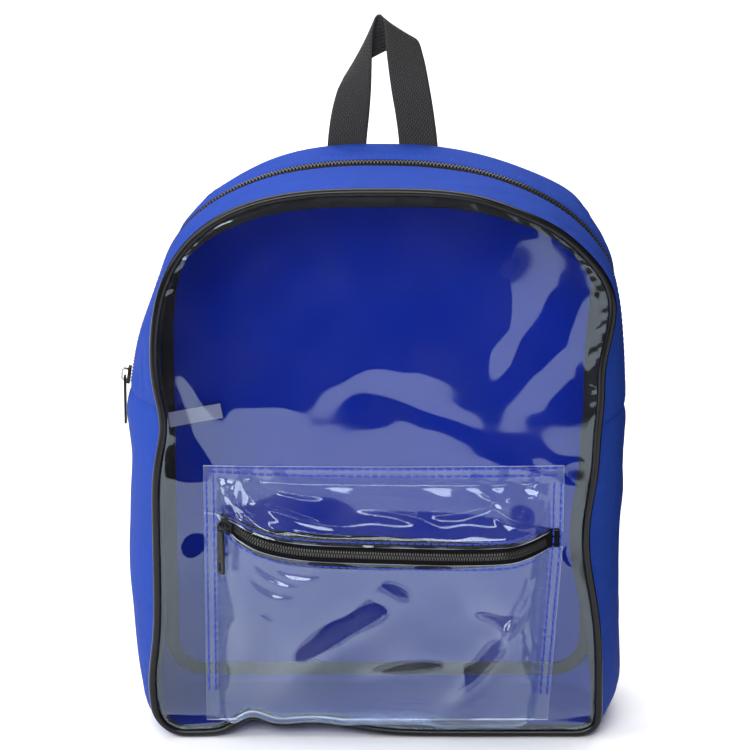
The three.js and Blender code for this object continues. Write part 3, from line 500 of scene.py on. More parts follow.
def grid_uv(grid):
    """Distances along and across a grid, measured through its middle."""
    rows, columns = grid.shape[:2]
    return np.stack(np.meshgrid(lengths(grid[rows // 2]), lengths(grid[:, columns // 2])), axis=-1)


def quads(index):
    """Faces between the rows and columns of a grid of point numbers."""
    corners = [index[:-1, :-1], index[:-1, 1:], index[1:, 1:], index[1:, :-1]]
    return np.stack(corners, axis=-1).reshape(-1, 4)


def shell(name, grid, thickness, side, material, lining=None, rim_finish=None):
    """A sheet of even thickness; grid is its outer face and side says which way its inner face lies.
    lining and rim_finish are the finishes of its inner face and its cut edge, where they differ."""
    rows, columns = grid.shape[:2]
    inner = grid + grid_normals(grid) * side * thickness
    points = np.concatenate([grid.reshape(-1, 3), inner.reshape(-1, 3)])
    index = np.arange(rows * columns).reshape(rows, columns)
    under = index + rows * columns
    outside, inside = quads(index), quads(under)[:, ::-1]
    rims = [quads(np.stack([index[k], under[k]])) for k in (0, -1)]
    rims += [quads(np.stack([index[:, k], under[:, k]])) for k in (0, -1)]
    faces = np.concatenate([outside, inside] + rims).tolist()
    others = [(len(outside), lining or material), (2 * len(outside), rim_finish or material)]
    uv = grid_uv(grid).reshape(-1, 2)
    return build(name, points, faces, material, np.concatenate([uv, uv]), others=others)


def tube_faces(count, corners, closed=False):
    """Faces of a tube through rings of points; its ends are closed unless it runs round into itself."""
    index = np.arange(count * corners).reshape(count, corners)
    rings = np.concatenate([index, index[:, :1]], axis=1)
    if closed:
        return quads(np.concatenate([rings, rings[:1]])).tolist()
    return quads(rings).tolist() + [index[0].tolist(), index[-1][::-1].tolist()]


def sweep(name, sections, material, closed=False):
    """A tube through sections, each a ring of as many points."""
    faces = tube_faces(*sections.shape[:2], closed)
    uv = grid_uv(sections).reshape(-1, 2)[:, ::-1]
    return build(name, sections.reshape(-1, 3), faces, material, uv)


def tubes(name, sections, material, sharp=SHARP):
    """Many small tubes in one mesh; sections holds the rings of each."""
    sections = np.array(sections)
    count, corners = sections.shape[1:3]
    starts = np.arange(len(sections)) * count * corners
    faces = [[start + k for k in face] for start in starts.tolist() for face in tube_faces(count, corners)]
    return build(name, sections.reshape(-1, 3), faces, material, sharp=sharp)


THREAD_SIDES = 6
# A stitch's own length: share along it, share of its radius and how deep it dips
STITCH = table(
    "share radius dip",
    (0, 0.45, 0.9), (0.14, 0.9, 0.25), (0.5, 1, 0), (0.86, 0.9, 0.25), (1, 0.45, 0.9),
)


def stitches(name, paths, material, length=3.2, gap=0.9, radius=0.38, rise=0.12):
    """Rows of thread stitches; each path holds points and, beside them, outward normals."""
    angles = np.linspace(0, 2 * math.pi, THREAD_SIDES, endpoint=False)[None, :, None]
    size = (radius * column(STITCH, "radius"))[:, None, None]
    lift = (rise - radius * column(STITCH, "dip"))[:, None]
    sections = []
    for path in paths:
        total = lengths(path[:, :3])[-1]
        for start in np.arange(gap, total - length, length + gap):
            rows = along_path(path, start + length * column(STITCH, "share"))
            ahead, out = unit(rows[-1, :3] - rows[0, :3]), unit(rows[:, 3:])
            aside = unit(np.cross(ahead, out))
            centre = rows[:, :3] + out * lift
            spokes = aside[:, None] * np.cos(angles) + out[:, None] * np.sin(angles)
            sections.append(centre[:, None] + spokes * size)
    return tubes(name, sections, material)


# A zipper tooth from its root to its tip: share across the half chain, height above the tape
TOOTH = table("across rise", (1, 0.3), (0.85, 1.25), (0.5, 1.65), (0.02, 1.2))
MAIN_PITCH, POCKET_PITCH = 2.2, 1.65
TOOTH_THICK = 0.56
TOOTH_NARROW = 0.7
TOOTH_SHARP = 30


def chain_path(places, share, depth):
    """Columns of a zipper chain below a face: place, along, out, and share of the chain's width."""
    centre, along, out = places
    return np.concatenate([centre - out * depth, along, out, share[:, None]], axis=1)


def coil_teeth(name, path, pitch, material):
    """Two rows of zipper teeth along a chain path, set in turn."""
    total = lengths(path[:, :3])[-1]
    root_half = TOOTH_THICK * pitch / 2
    crest_half = root_half * TOOTH_NARROW
    across, rise = column(TOOTH, "across")[:, None], column(TOOTH, "rise")[:, None]
    sections = []
    for k, place in enumerate(np.arange(pitch, total - pitch, pitch / 2)):
        side = 1 if k % 2 else -1
        values = along_path(path, np.array([place]))[0]
        ahead, out = unit(values[3:6]), unit(values[6:9])
        aside = unit(np.cross(out, ahead)) * side * ZIPPER.chain_half * values[9]
        root = values[:3] + aside * across
        crest = root + out * rise
        corners = [root - ahead * root_half, root + ahead * root_half]
        corners += [crest + ahead * crest_half, crest - ahead * crest_half]
        sections.append(np.stack(corners, axis=1))
    return tubes(name, sections, material, TOOTH_SHARP)


# Rounding of hard edges: welding distance in metres, angles in degrees
BEVEL = Sizes(weld=0.00001, flat=2, edge=35, sharp=40, segments=2, profile=0.6)


def bevelled(node, width, material):
    """A hard CAD node with its edges rounded."""
    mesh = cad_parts[node].data.copy()
    solid = bmesh.new()
    solid.from_mesh(mesh)
    bmesh.ops.remove_doubles(solid, verts=solid.verts, dist=BEVEL.weld)
    bmesh.ops.dissolve_limit(
        solid, angle_limit=math.radians(BEVEL.flat), verts=solid.verts, edges=solid.edges,
    )
    steep = math.radians(BEVEL.edge)
    edges = [edge for edge in solid.edges if edge.is_manifold and edge.calc_face_angle() > steep]
    bmesh.ops.bevel(
        solid, geom=edges, offset=width * MM, segments=BEVEL.segments, profile=BEVEL.profile,
        affect="EDGES", clamp_overlap=True,
    )
    solid.to_mesh(mesh)
    solid.free()
    mesh.shade_smooth()
    mesh.set_sharp_from_angle(angle=math.radians(BEVEL.sharp))
    mesh.materials.clear()
    mesh.materials.append(material)
    return link(f"{node}_shaped", mesh)


# Materials

def linear(red, green, blue):
    """A colour given as it shows on screen, 0 to 255, as light."""
    shares = [value / 255 for value in (red, green, blue)]
    return [s / 12.92 if s <= 0.04045 else ((s + 0.055) / 1.055) ** 2.4 for s in shares] + [1.0]


def shade(colour, share):
    """A colour made darker or lighter."""
    return [min(value * share, 1) for value in colour[:3]] + [1]


class Nodes:
    """Short calls for making a material's nodes."""

    def __init__(self, name):
        self.material = bpy.data.materials.new(name)
        self.material.use_nodes = True
        self.tree = self.material.node_tree
        self.tree.nodes.clear()
        self.output = self.tree.nodes.new("ShaderNodeOutputMaterial")
        self.place = self.add("ShaderNodeTexCoord").outputs["Object"]

    def add(self, kind, inputs=None, **settings):
        node = self.tree.nodes.new(kind)
        for key, value in settings.items():
            setattr(node, key, value)
        for key, value in (inputs or {}).items():
            if isinstance(value, bpy.types.NodeSocket):
                self.tree.links.new(value, node.inputs[key])
            else:
                node.inputs[key].default_value = value
        return node

    def math(self, operation, a, b=0.0):
        return self.add("ShaderNodeMath", {0: a, 1: b}, operation=operation).outputs[0]

    def scaled(self, value, share, offset):
        return self.math("ADD", self.math("MULTIPLY", value, share), offset)

    def around(self, value, middle, spread):
        """A number that drifts evenly about a middle."""
        return self.scaled(value, spread, middle - spread / 2)

    def mix(self, share, a, b):
        return self.add("ShaderNodeMix", {0: share, 6: a, 7: b}, data_type="RGBA").outputs[2]

    def uneven(self, share, colour, dark, light):
        """A colour that drifts between a darker and a lighter shade."""
        return self.mix(share, shade(linear(*colour), dark), shade(linear(*colour), light))

    def blend(self, share, first, second):
        return self.add("ShaderNodeMixShader", {0: share, 1: first.outputs[0], 2: second.outputs[0]})

    def noise(self, scale, detail):
        inputs = {"Vector": self.place, "Scale": scale, "Detail": detail}
        return self.add("ShaderNodeTexNoise", inputs).outputs["Fac"]

    def bump(self, height, strength, distance):
        inputs = {"Height": height, "Strength": strength, "Distance": distance}
        return self.add("ShaderNodeBump", inputs).outputs["Normal"]

    def surface(self, shader):
        self.tree.links.new(shader.outputs[0], self.output.inputs["Surface"])
        return self.material

    def weave(self, along_mm, across_mm):
        """Height of a plain weave, 0 to 1: threads of the given pitch each way, every other row set over."""
        uv = self.add("ShaderNodeUVMap", uv_map="weave").outputs[0]
        along, across, _ = self.add("ShaderNodeSeparateXYZ", {0: uv}).outputs
        second = self.math("SINE", self.math("MULTIPLY", across, math.pi / across_mm))
        set_over = self.math("MULTIPLY", self.math("SIGN", second), math.pi / 4)
        first = self.math("SINE", self.scaled(along, math.pi / along_mm, set_over))
        return self.math("ABSOLUTE", self.math("MULTIPLY", first, second))


# Height of a weave from which up the threads keep the cloth's own colour; below it the gaps between threads
# take painted shade
WEAVE_MIDDLE = 0.6
SCUFFS = Sizes(power=3.0, strength=8)
SLANT_POWER = 5.0


def woven(name, colour, pitch, rough, sheen, depth, contrast, gloss, crumple):
    """Cloth: threads that catch the light, painted shade in the gaps between them, uneven dye and a slight
    sheen.
    """
    nodes = Nodes(name)
    weave = nodes.weave(*pitch)
    mottle = nodes.noise(scale=38, detail=5)
    dyed = nodes.uneven(mottle, colour, dark=0.86, light=1.12)
    # Painted shade: the base colour is darkened in the gaps between threads, where the weave is low
    threads = nodes.scaled(weave, contrast, 1 - contrast * WEAVE_MIDDLE)
    fuzz = nodes.scaled(nodes.noise(scale=900, detail=2), share=0.5, offset=weave)
    if crumple:
        fuzz = nodes.scaled(nodes.noise(scale=65, detail=3), crumple / depth, fuzz)
    shader = nodes.add("ShaderNodeBsdfPrincipled", {
        "Base Color": nodes.mix(threads, (0, 0, 0, 1), dyed),
        "Roughness": nodes.around(mottle, rough, spread=0.12),
        "Specular IOR Level": gloss,
        "Sheen Weight": sheen,
        "Sheen Roughness": 0.4,
        "Sheen Tint": (0.55, 0.9, 1, 1),
        "Normal": nodes.bump(fuzz, strength=0.55, distance=depth),
    })
    return nodes.surface(shader)


def clear_sheet(name, mirror_share, haze, tint):
    """Clear PVC: light goes straight through, and each face mirrors more at a slant."""
    nodes = Nodes(name)
    normal = nodes.bump(nodes.noise(scale=40, detail=1), strength=0.2, distance=0.0005)
    mirror_look = {"Color": (0.77, 0.9, 1, 1), "Roughness": 0.04, "Normal": normal}
    mirror = nodes.add("ShaderNodeBsdfGlossy", mirror_look)
    through = nodes.add("ShaderNodeBsdfTransparent", {"Color": tint})
    milky = nodes.add("ShaderNodeBsdfDiffuse", {"Color": (0.9, 0.92, 1, 1)})
    scuffs = nodes.math("POWER", nodes.noise(scale=22, detail=6), SCUFFS.power)
    body = nodes.blend(nodes.math("MULTIPLY", scuffs, haze * SCUFFS.strength), through, milky)
    slant = nodes.add("ShaderNodeLayerWeight", {"Blend": 0.5, "Normal": normal}).outputs["Facing"]
    share = nodes.scaled(nodes.math("POWER", slant, SLANT_POWER), 1 - mirror_share, mirror_share)
    return nodes.surface(nodes.blend(share, body, mirror))


def moulded(name, colour, rough, metal, gloss):
    """Plastic or painted metal: fine grain, uneven tone and uneven gloss."""
    nodes = Nodes(name)
    mottle = nodes.noise(scale=120, detail=4)
    grain = nodes.noise(scale=1500, detail=2)
    shader = nodes.add("ShaderNodeBsdfPrincipled", {
        "Base Color": nodes.uneven(mottle, colour, dark=0.8, light=1.25),
        "Metallic": metal,
        "Specular IOR Level": gloss,
        "Roughness": nodes.around(mottle, rough, spread=0.16),
        "Normal": nodes.bump(grain, strength=0.4, distance=0.00004),
    })
    return nodes.surface(shader)


BLUE = (31, 62, 150)
# Pitch of the threads each way in millimetres; depth and crumple are heights of bump in metres; the column
# after depth is the strength of painted shade in the gaps between threads
CLOTHS = table(
    "name colour pitch rough sheen depth contrast gloss crumple",
    ("blue_cloth", BLUE, (0.62, 0.5), 0.75, 0, 0.00012, 0.2, 0.12, 0.0015),
    # The lining: the cloth's inner face, less glossy, in a deeper and more saturated blue that is painted
    # shade for the dim inside of the bag
    ("blue_lining", (8, 37, 148), (0.62, 0.5), 0.75, 0, 0.00012, 0.1, 0.06, 0),
    ("strap_cloth", BLUE, (0.8, 0.7), 0.75, 0, 0.00012, 0.3, 0.12, 0),
    ("black_webbing", (61, 60, 60), (2.6, 1.5), 0.7, 0.02, 0.0008, 0.95, 0.2, 0),
    ("binding_tape", (26, 26, 29), (0.9, 0.7), 0.75, 0, 0.00015, 0.35, 0.1, 0),
    ("zipper_tape", (11, 11, 12), (0.8, 0.6), 0.75, 0, 0.00015, 0.35, 0.1, 0),
    # The label's white ribbon, darkened and tinted blue as painted shade for the dim inside of the bag
    ("white_label", (150, 155, 186), (0.5, 0.4), 0.7, 0.1, 0.00006, 0.12, 0.3, 0),
    ("blue_thread", (30, 62, 190), (0.5, 0.4), 0.55, 0.05, 0.00012, 0.3, 0.3, 0),
    ("black_thread", (40, 40, 43), (0.5, 0.4), 0.55, 0.05, 0.00012, 0.3, 0.3, 0),
)
CLEAR_SHEETS = table(
    "name mirror_share haze tint",
    ("clear_front", 0.045, 0.0015, (0.985, 0.99, 1, 1)),
    ("clear_pocket", 0.034, 0.009, (0.975, 0.98, 1, 1)),
)
MOULDINGS = table(
    "name colour rough metal gloss",
    ("clear_edge", (196, 204, 226), 0.3, 0, 0.5),
    ("black_piping", (12, 11, 13), 0.24, 0, 0.28),
    ("zipper_coil", (44, 42, 43), 0.34, 0, 0.5),
    ("slider_metal", (15, 15, 16), 0.3, 0, 0.3),
    ("bright_metal", (190, 190, 194), 0.25, 0.9, 0.5),
    ("black_plastic", (26, 26, 28), 0.45, 0, 0.5),
)
finish = {}
for make, rows in ((woven, CLOTHS), (clear_sheet, CLEAR_SHEETS), (moulded, MOULDINGS)):
    finish.update({row.name: make(**vars(row)) for row in rows})


def dress(piece, slot, *nodes, body="bag"):
    """Sets a piece on its body and hides the solids it stands for; slot, the finish it would take, is not
    used.
    """
    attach(piece, body)
    if nodes:
        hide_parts(*nodes)
    return piece


# Piping

STEPS_A_STATION = 12
ROUND_STEPS = np.linspace(0, STATIONS, STEPS_A_STATION * STATIONS, endpoint=False)
PIPING_SIDES = 14


def ring(edge, corners):
    """Sections round an outline; each corner is a distance out, even or by station, and a distance behind."""
    points, normals = outline(edge, ROUND_STEPS), outline_normals(edge, ROUND_STEPS)
    back = np.array([0, 1, 0])
    lines = [points + normals * np.reshape(out, (-1, 1)) + back * behind for out, behind in corners]
    return np.stack(lines, axis=1)


piping_angles = np.linspace(0, 2 * math.pi, PIPING_SIDES, endpoint=False)
piping_corners = [(PIPING_RADIUS * math.cos(a), PIPING_RADIUS * math.sin(a)) for a in piping_angles]
piping = sweep("front_piping_cord", ring(FRONT_EDGE, piping_corners), finish["black_piping"], closed=True)
dress(piping, "piping", "front_piping")


# Gusset cloth

CLOTH_GRID = Sizes(along=2.6, across=2.2, fewest=8)
CALM_ENDS = 12
SEAM_PUCKER = Sizes(rise=0.55, reach=10, length=15, slant=0.2, ramp=2)
CLOTH_SWELL = Sizes(rise=1.1, length=95, slant=0.4)
CLOTH_STREAK = Sizes(rise=1.3, length=16, slant=0.1, patch=75)
TURNED_EDGE = Sizes(dip=1.4, reach=2.2)
FINE_STATIONS = 4000


def even_stations(start, end, step):
    """Stations between two places, an even distance apart along the middle of the gusset."""
    t = np.linspace(start, end, FINE_STATIONS)
    run = lengths(gusset(t, 0.5))
    return np.interp(np.linspace(0, run[-1], int(run[-1] / step) + 1), run, t)


def gusset_cloth(name, start, end, low, high, seed, turned):
    """A strip of the gusset between stations and between two shares of its depth.
    turned names the edges that are folded in: start, end, low or high.
    Gives back the cloth's places and outward normals."""
    t = even_stations(start, end, CLOTH_GRID.along)
    across = np.linspace(low, high, max(int((high - low) * DEPTH / CLOTH_GRID.across), CLOTH_GRID.fewest))
    smooth = gusset(t[None, :], across[:, None])
    along = lengths(gusset(t, 0.5))[None, :]
    behind = (across * DEPTH)[:, None]
    edges = dict(start=along, end=along[:, -1:] - along, low=behind - low * DEPTH, high=high * DEPTH - behind)
    middle = np.sin(math.pi * (across - low) / (high - low))[:, None]
    swell = waviness(along + CLOTH_SWELL.slant * behind, CLOTH_SWELL.length, seed)
    streak = waviness(behind + CLOTH_STREAK.slant * along, CLOTH_STREAK.length, seed + 5)
    streak = streak * waviness(along - behind, CLOTH_STREAK.patch, seed + 6)
    push = middle * (CLOTH_SWELL.rise * swell + CLOTH_STREAK.rise * streak)
    sewn = sorted({"low", "high"} - set(turned))
    for extra, seam in enumerate((edges[edge] for edge in sewn), start=1):
        fade = bell(seam, SEAM_PUCKER.reach) * ramp(seam, SEAM_PUCKER.ramp)
        wave = waviness(along + SEAM_PUCKER.slant * seam, SEAM_PUCKER.length, seed + extra)
        push = push + SEAM_PUCKER.rise * fade * wave
    push = push * ramp(edges["start"], CALM_ENDS) * ramp(edges["end"], CALM_ENDS)
    for edge in turned:
        push = push - TURNED_EDGE.dip * bell(edges[edge], TURNED_EDGE.reach)
    grid = smooth - grid_normals(smooth) * push[..., None]
    grid[..., 2] = np.maximum(grid[..., 2], 0)
    # The cloth's inner face takes the lining, whose deeper blue is painted shade
    cloth = shell(f"{name}_cloth", grid, CLOTH, 1, finish["blue_cloth"], finish["blue_lining"])
    dress(cloth, "blue_cloth", name)
    return np.concatenate([grid, -grid_normals(grid)], axis=2)


right_seam = side_station(1, RIGHT_SEAM_HEIGHT)
left_seam = side_station(-1, LEFT_SEAM_HEIGHT)
top_start, top_end = right_seam + SEAM_STEP, left_seam - SEAM_STEP
slot_front = GUSSET.zipper - GUSSET.slot_half - GUSSET.slot_drawn
slot_back = GUSSET.zipper + GUSSET.slot_half + GUSSET.slot_drawn
gusset_cloth(
    "lower_gusset", left_seam - STATIONS, right_seam, GUSSET.front, GUSSET.back,
    seed=11, turned=("start", "end"),
)
front_strip = gusset_cloth(
    "top_gusset_front", top_start, top_end, GUSSET.front, slot_front,
    seed=21, turned=("start", "end", "high"),
)
back_strip = gusset_cloth(
    "top_gusset_back", top_start, top_end, slot_back, GUSSET.back,
    seed=31, turned=("start", "end", "low"),
)


# Bindings

FOLD_ROUND = 0.4


def binding(name, edge, size, inner, behind):
    """A tape folded round a seam allowance, rounded at its fold."""
    low, high = behind, behind + size.thickness
    soft = size.thickness * FOLD_ROUND
    corners = [
        (-size.outer, low), (-size.outer, high), (soft - inner, high),
        (-inner, high - soft), (-inner, low + soft), (soft - inner, low),
    ]
    tape = sweep(f"{name}_tape", ring(edge, corners), finish["binding_tape"], closed=True)
    dress(tape, "binding_tape", name)


binding_reach = np.interp(
    ROUND_STEPS, column(FRONT_BINDING_ROWS, "station"), column(FRONT_BINDING_ROWS, "inner"),
)
binding("front_binding", FRONT_EDGE, FRONT_BINDING, binding_reach, CLEAR_SHEET / 2 + GAP)
binding("back_binding", BACK_EDGE, BACK_BINDING, BACK_BINDING.inner, -BACK_BINDING.thickness - GAP)


# Main zipper

TAPE_STEP, CHAIN_STEP = 4, 2
TAPE_COLUMNS = 15
# Rows of cloth between the slot and its seam, and the cloth's ends that the seam leaves free
SEAM_ROW, SEAM_ENDS = 2, 2


def zipper(node, tape_face, side, chain, pitch):
    """A zipper's tape and its two rows of teeth; side says which way the tape's inner face lies."""
    tape = shell(f"{node}_tape", tape_face, ZIPPER.tape_thickness, side, finish["zipper_tape"])
    dress(tape, "zipper_coil", node)
    dress(coil_teeth(f"{node}_teeth", chain, pitch, finish["zipper_coil"]), "zipper_coil")


tape_across = np.linspace(-ZIPPER.tape_half, ZIPPER.tape_half, TAPE_COLUMNS)[:, None]
tape_stations = even_stations(top_start, top_end, TAPE_STEP)[None, :]
tape_place, _, tape_out = gusset_frame(tape_stations, GUSSET.zipper + tape_across / DEPTH)
main_tape_face = tape_place - tape_out * (CLOTH + TAPE_GAP)
chain_stations = even_stations(top_start, top_end, CHAIN_STEP)
main_places = gusset_frame(chain_stations, np.full_like(chain_stations, GUSSET.zipper))
main_chain = chain_path(main_places, np.ones_like(chain_stations), CLOTH + TAPE_GAP)
zipper("main_zipper", main_tape_face, 1, main_chain, MAIN_PITCH)

seam_lines = (front_strip[-1 - SEAM_ROW], back_strip[SEAM_ROW])
seam_paths = [line[SEAM_ENDS:-SEAM_ENDS] for line in seam_lines]
seam_thread = stitches("zipper_seam_thread", seam_paths, finish["blue_thread"], radius=0.32, rise=-0.04)
dress(seam_thread, "blue_cloth")


# Panels

# Broad folds of the pocket: ends, bow, width and rise; the panel behind repeats them, lower and shallower
POCKET_FOLDS = table(
    "x1 z1 x2 z2 bow width rise",
    (-80, 24, 30, 102, 5, 15.0, 7.2),
    (-2, 112, 22, 94, 2, 5.0, 1.9),
    (50, 92, 90, 76, 2, 6.0, 1.7),
    (34, 12, 94, 92, -3, 9.0, 7.5),
    (-34, 44, 60, 53, 3, 7.0, 3.4),
)
FOLDS_BEHIND = Sizes(drop=7, share=0.75)

# Swellings and hollows of the clear front: place, size each way, turn in degrees and rise
FRONT_DENTS = table(
    "x z long short turn rise",
    (-72, 223, 24, 14, 0, 0.65),
    (-28, 240, 20, 13, 22, 0.5),
    (-6, 230, 15, 12, -40, -0.55),
    (30, 247, 27, 13, -16, 0.7),
    (34, 217, 20, 6, -22, -0.4),
    (80, 296, 22, 15, 64, 2.2),
    (77, 268, 21, 10, 72, 1.5),
    (113, 261, 34, 11, 52, 1.5),
    (-66, 126, 34, 30, 12, 2.6),
    (-30, 122, 34, 26, -14, 2.2),
    (88, 126, 22, 30, -20, 2.6),
    (-111, 226, 32, 8, -66, 0.8),
    (-104, 318, 20, 9, 50, 0.8),
    (-121, 170, 14, 15, 12, 2.1),
    (-118, 116, 12, 18, -16, 2.6),
    (124, 168, 11, 11, -8, 1.7),
    (98, 177, 28, 11, -16, 0.95),
    (122, 112, 9, 14, 10, 2.2),
)
FRONT_WAVES = table(
    "rise x z length seed",
    (0.25, 1, 0.6, 95, 6), (0.15, -0.5, 1, 70, 7), (0.075, 1, 0.3, 34, 16),
)
BACK_WAVES = table("rise x z length seed", (0.4, 1, 0.4, 90, 8), (0.4, -0.3, 1, 120, 9))
BACK_SINK = 0.4
# Grids of the panels: columns, rows and a rough width and height; calm is the still strip along the seam
FRONT_GRID = Sizes(columns=190, rows=230, width=280, height=350, calm=8)
BACK_GRID = Sizes(columns=110, rows=130, calm=0.04)
EDGE_PUCKER = Sizes(rise=0.1, reach=12, length=20, seed=5)
# Crumpled stretches of the front's edge: place, spread along the edge, rise, reach inwards and wave length
EDGE_CRUMPLES = table(
    "x z spread rise reach length",
    (-100, 318, 36, 1.4, 5.0, 11),
    (124, 272, 34, 1.0, 4.5, 12),
)
CRUMPLE = Sizes(inside=3, slant=0.35, seed=15)
CALM_ABOVE = Sizes(start=300, run=50)
FOOT_SAG = Sizes(rise=3.2, height=3, reach=13, ramp=2.5)


def from_edges(grid):
    """Shares of a grid's width and height from its nearest sides."""
    u, v = grid_shares(*grid.shape[:2])
    return np.minimum(u, 1 - u), np.minimum(v, 1 - v)


def behind_fold(fold):
    """A fold of the pocket, as the panel behind it repeats it."""
    z1, z2 = fold.z1 - FOLDS_BEHIND.drop, fold.z2 - FOLDS_BEHIND.drop
    return Sizes(**{**vars(fold), "z1": z1, "z2": z2, "rise": fold.rise * FOLDS_BEHIND.share})


def clear_front():
    """The clear front, swollen and dented, puckered at its seam and sagging over its foot."""
    smooth = filled(FRONT_EDGE, PIPING_RADIUS + GAP, FRONT_GRID.columns, FRONT_GRID.rows)
    x, z = smooth[..., 0], smooth[..., 2]
    from_side, from_end = from_edges(smooth)
    from_side, from_end = from_side * FRONT_GRID.width, from_end * FRONT_GRID.height
    inside = np.minimum(from_side, from_end)
    still = ramp(inside, FRONT_GRID.calm)
    round_it = np.where(from_side < from_end, z, x)
    pucker = EDGE_PUCKER.rise * still * bell(inside, EDGE_PUCKER.reach)
    pucker = pucker * waviness(round_it, EDGE_PUCKER.length, EDGE_PUCKER.seed)
    for crumple in EDGE_CRUMPLES:
        strength = bell(np.hypot(x - crumple.x, z - crumple.z), crumple.spread)
        strength = crumple.rise * strength * bell(inside - CRUMPLE.inside, crumple.reach)
        pucker = pucker + strength * waviness(z - CRUMPLE.slant * x, crumple.length, CRUMPLE.seed)
    calm = ramp(CALM_ABOVE.start - z, CALM_ABOVE.run)
    sag = FOOT_SAG.rise * bell(z - FOOT_SAG.height, FOOT_SAG.reach) * ramp(inside, FOOT_SAG.ramp)
    smooth[..., 1] = front_face(x, z)
    grid = smooth.copy()
    broad = relief(x, z, FRONT_DENTS, [behind_fold(fold) for fold in POCKET_FOLDS])
    broad = broad + slow_waves(FRONT_WAVES, x, z) * calm
    grid[..., 1] -= still * broad + pucker + sag
    sheet = shell("front_panel_sheet", grid, CLEAR_SHEET, -1, finish["clear_front"])
    dress(sheet, "clear_pvc", "front_panel")


def cloth_back():
    """The cloth back, slightly wavy inside its seam."""
    smooth = filled(BACK_EDGE, SEAM_TUCK, BACK_GRID.columns, BACK_GRID.rows)
    x, z = smooth[..., 0], smooth[..., 2]
    still = ramp(np.minimum(*from_edges(smooth)), BACK_GRID.calm)
    smooth[..., 1] = back_face(x, z)
    grid = smooth.copy()
    grid[..., 1] += still * (slow_waves(BACK_WAVES, x, z) - BACK_SINK)
    # The cloth's inner face takes the lining, whose deeper blue is painted shade
    cloth = shell("back_panel_cloth", grid, CLOTH, 1, finish["blue_cloth"], finish["blue_lining"])
    dress(cloth, "blue_cloth", "back_panel")


clear_front()
cloth_back()


# Pocket

POCKET_CREASES = table(
    "x1 z1 x2 z2 bow width rise",
    (-92, 173, -16, 151, -6, 2.0, 1.0),
    (-80, 176, -30, 166, -3, 1.7, 0.8),
    (-98, 168, -84, 140, 3, 1.9, 1.1),
    (-104, 158, -90, 174, 1, 1.7, 0.9),
    (-100, 150, -72, 157, 2, 1.7, 0.8),
    (-60, 150, -8, 146, -3, 1.7, 0.8),
    (14, 158, 92, 168, -5, 2.0, 0.9),
    (84, 146, 108, 172, 2, 1.9, 1.1),
    (68, 158, 104, 148, -3, 1.7, 0.9),
    (90, 175, 110, 158, 1, 1.7, 0.9),
    (-80, 126, -42, 113, -6, 2.7, 2.1),
    (-82, 116, -50, 104, -5, 2.5, 1.9),
    (-66, 123, -34, 119, -4, 2.2, 1.6),
    (-80, 92, -62, 84, 2, 1.6, 0.8),
    (97, 112, 84, 88, 2, 1.5, 1.5),
    (87, 70, 101, 30, -2, 1.4, 1.4),
    (94, 96, 100, 60, -3, 1.6, 1.5),
    (-32, 29, 8, 38, 1, 1.5, 1.0),
    (8, 38, 58, 19, -2, 1.5, 1.0),
    (-101, 42, -99, 15, 2, 2.4, 2.2),
    (52, 44, 98, 30, -1, 1.5, 0.75),
    (92, 120, 70, 66, 3, 1.5, 1.5),
    (100, 116, 78, 74, 4, 1.6, 1.7),
    (80, 62, 102, 22, 1, 1.6, 1.6),
    (-98, 120, -90, 84, 2, 1.8, 1.5),
    (-95, 80, -99, 50, 1, 1.7, 1.4),
    (-20, 160, 40, 150, 3, 1.8, 0.9),
    (60, 172, 100, 150, -2, 1.8, 1.2),
    (76, 176, 108, 162, 1, 1.7, 1.1),
    (-100, 172, -60, 146, -3, 1.8, 1.2),
)
POCKET_DENTS = table(
    "x z long short turn rise",
    (-20, 90, 60, 26, 20, 1.2),
    (46, 60, 50, 22, -30, -1.2),
    (-58, 58, 34, 26, 70, 0.9),
    (66, 104, 34, 16, -12, -0.9),
    (78, 32, 34, 30, 0, 3.4),
)
POCKET_GATHER = Sizes(rise=1.5, height=168, reach=8, length=17, slant=0.3, starts=50, run=40)
POCKET_WAVE = Sizes(rise=0.35, length=46, slant=0.7)
# Where the pocket's sheet is free to fold: past the flange, off the panel and away from its ends
POCKET_FREE = Sizes(flange=1, flange_run=7, reach=6, end_run=1 / 14)
POCKET_GRID = Sizes(columns=281, body_rows=150, top_rows=72)


def pocket_sheet(name, rows, count, seed):
    """One clear sheet of the pocket, folded and creased between its flanges."""
    curve = smooth_rows(rows, count)
    reach = curve.reach[:, None]
    u, _ = grid_shares(count, POCKET_GRID.columns)
    smooth = pocket_point(u, curve.height[:, None], np.maximum(reach, 0))
    x, z = smooth[..., 0], smooth[..., 2]
    from_side, from_end = from_edges(smooth)
    past_flange = from_side * POCKET_WIDTH - POCKET.flange - POCKET_FREE.flange
    free = ramp(past_flange, POCKET_FREE.flange_run)
    raised = ramp(reach, POCKET_FREE.reach) * ramp(from_end, POCKET_FREE.end_run)
    slow = POCKET_WAVE.rise * waviness(x + POCKET_WAVE.slant * z, POCKET_WAVE.length, seed)
    push = raised * (relief(x, z, POCKET_DENTS, POCKET_CREASES + POCKET_FOLDS) + slow)
    near_corner = ramp(np.abs(x) - POCKET_GATHER.starts, POCKET_GATHER.run)
    gather = POCKET_GATHER.rise * near_corner * bell(z - POCKET_GATHER.height, POCKET_GATHER.reach)
    push = push + gather * waviness(x + POCKET_GATHER.slant * z, POCKET_GATHER.length, seed + 2)
    grid = smooth + grid_normals(smooth) * (free * push)[..., None]
    sheet = shell(
        f"{name}_sheet", grid, CLEAR_SHEET, -1, finish["clear_pocket"], rim_finish=finish["clear_edge"],
    )
    dress(sheet, "clear_pvc", name)


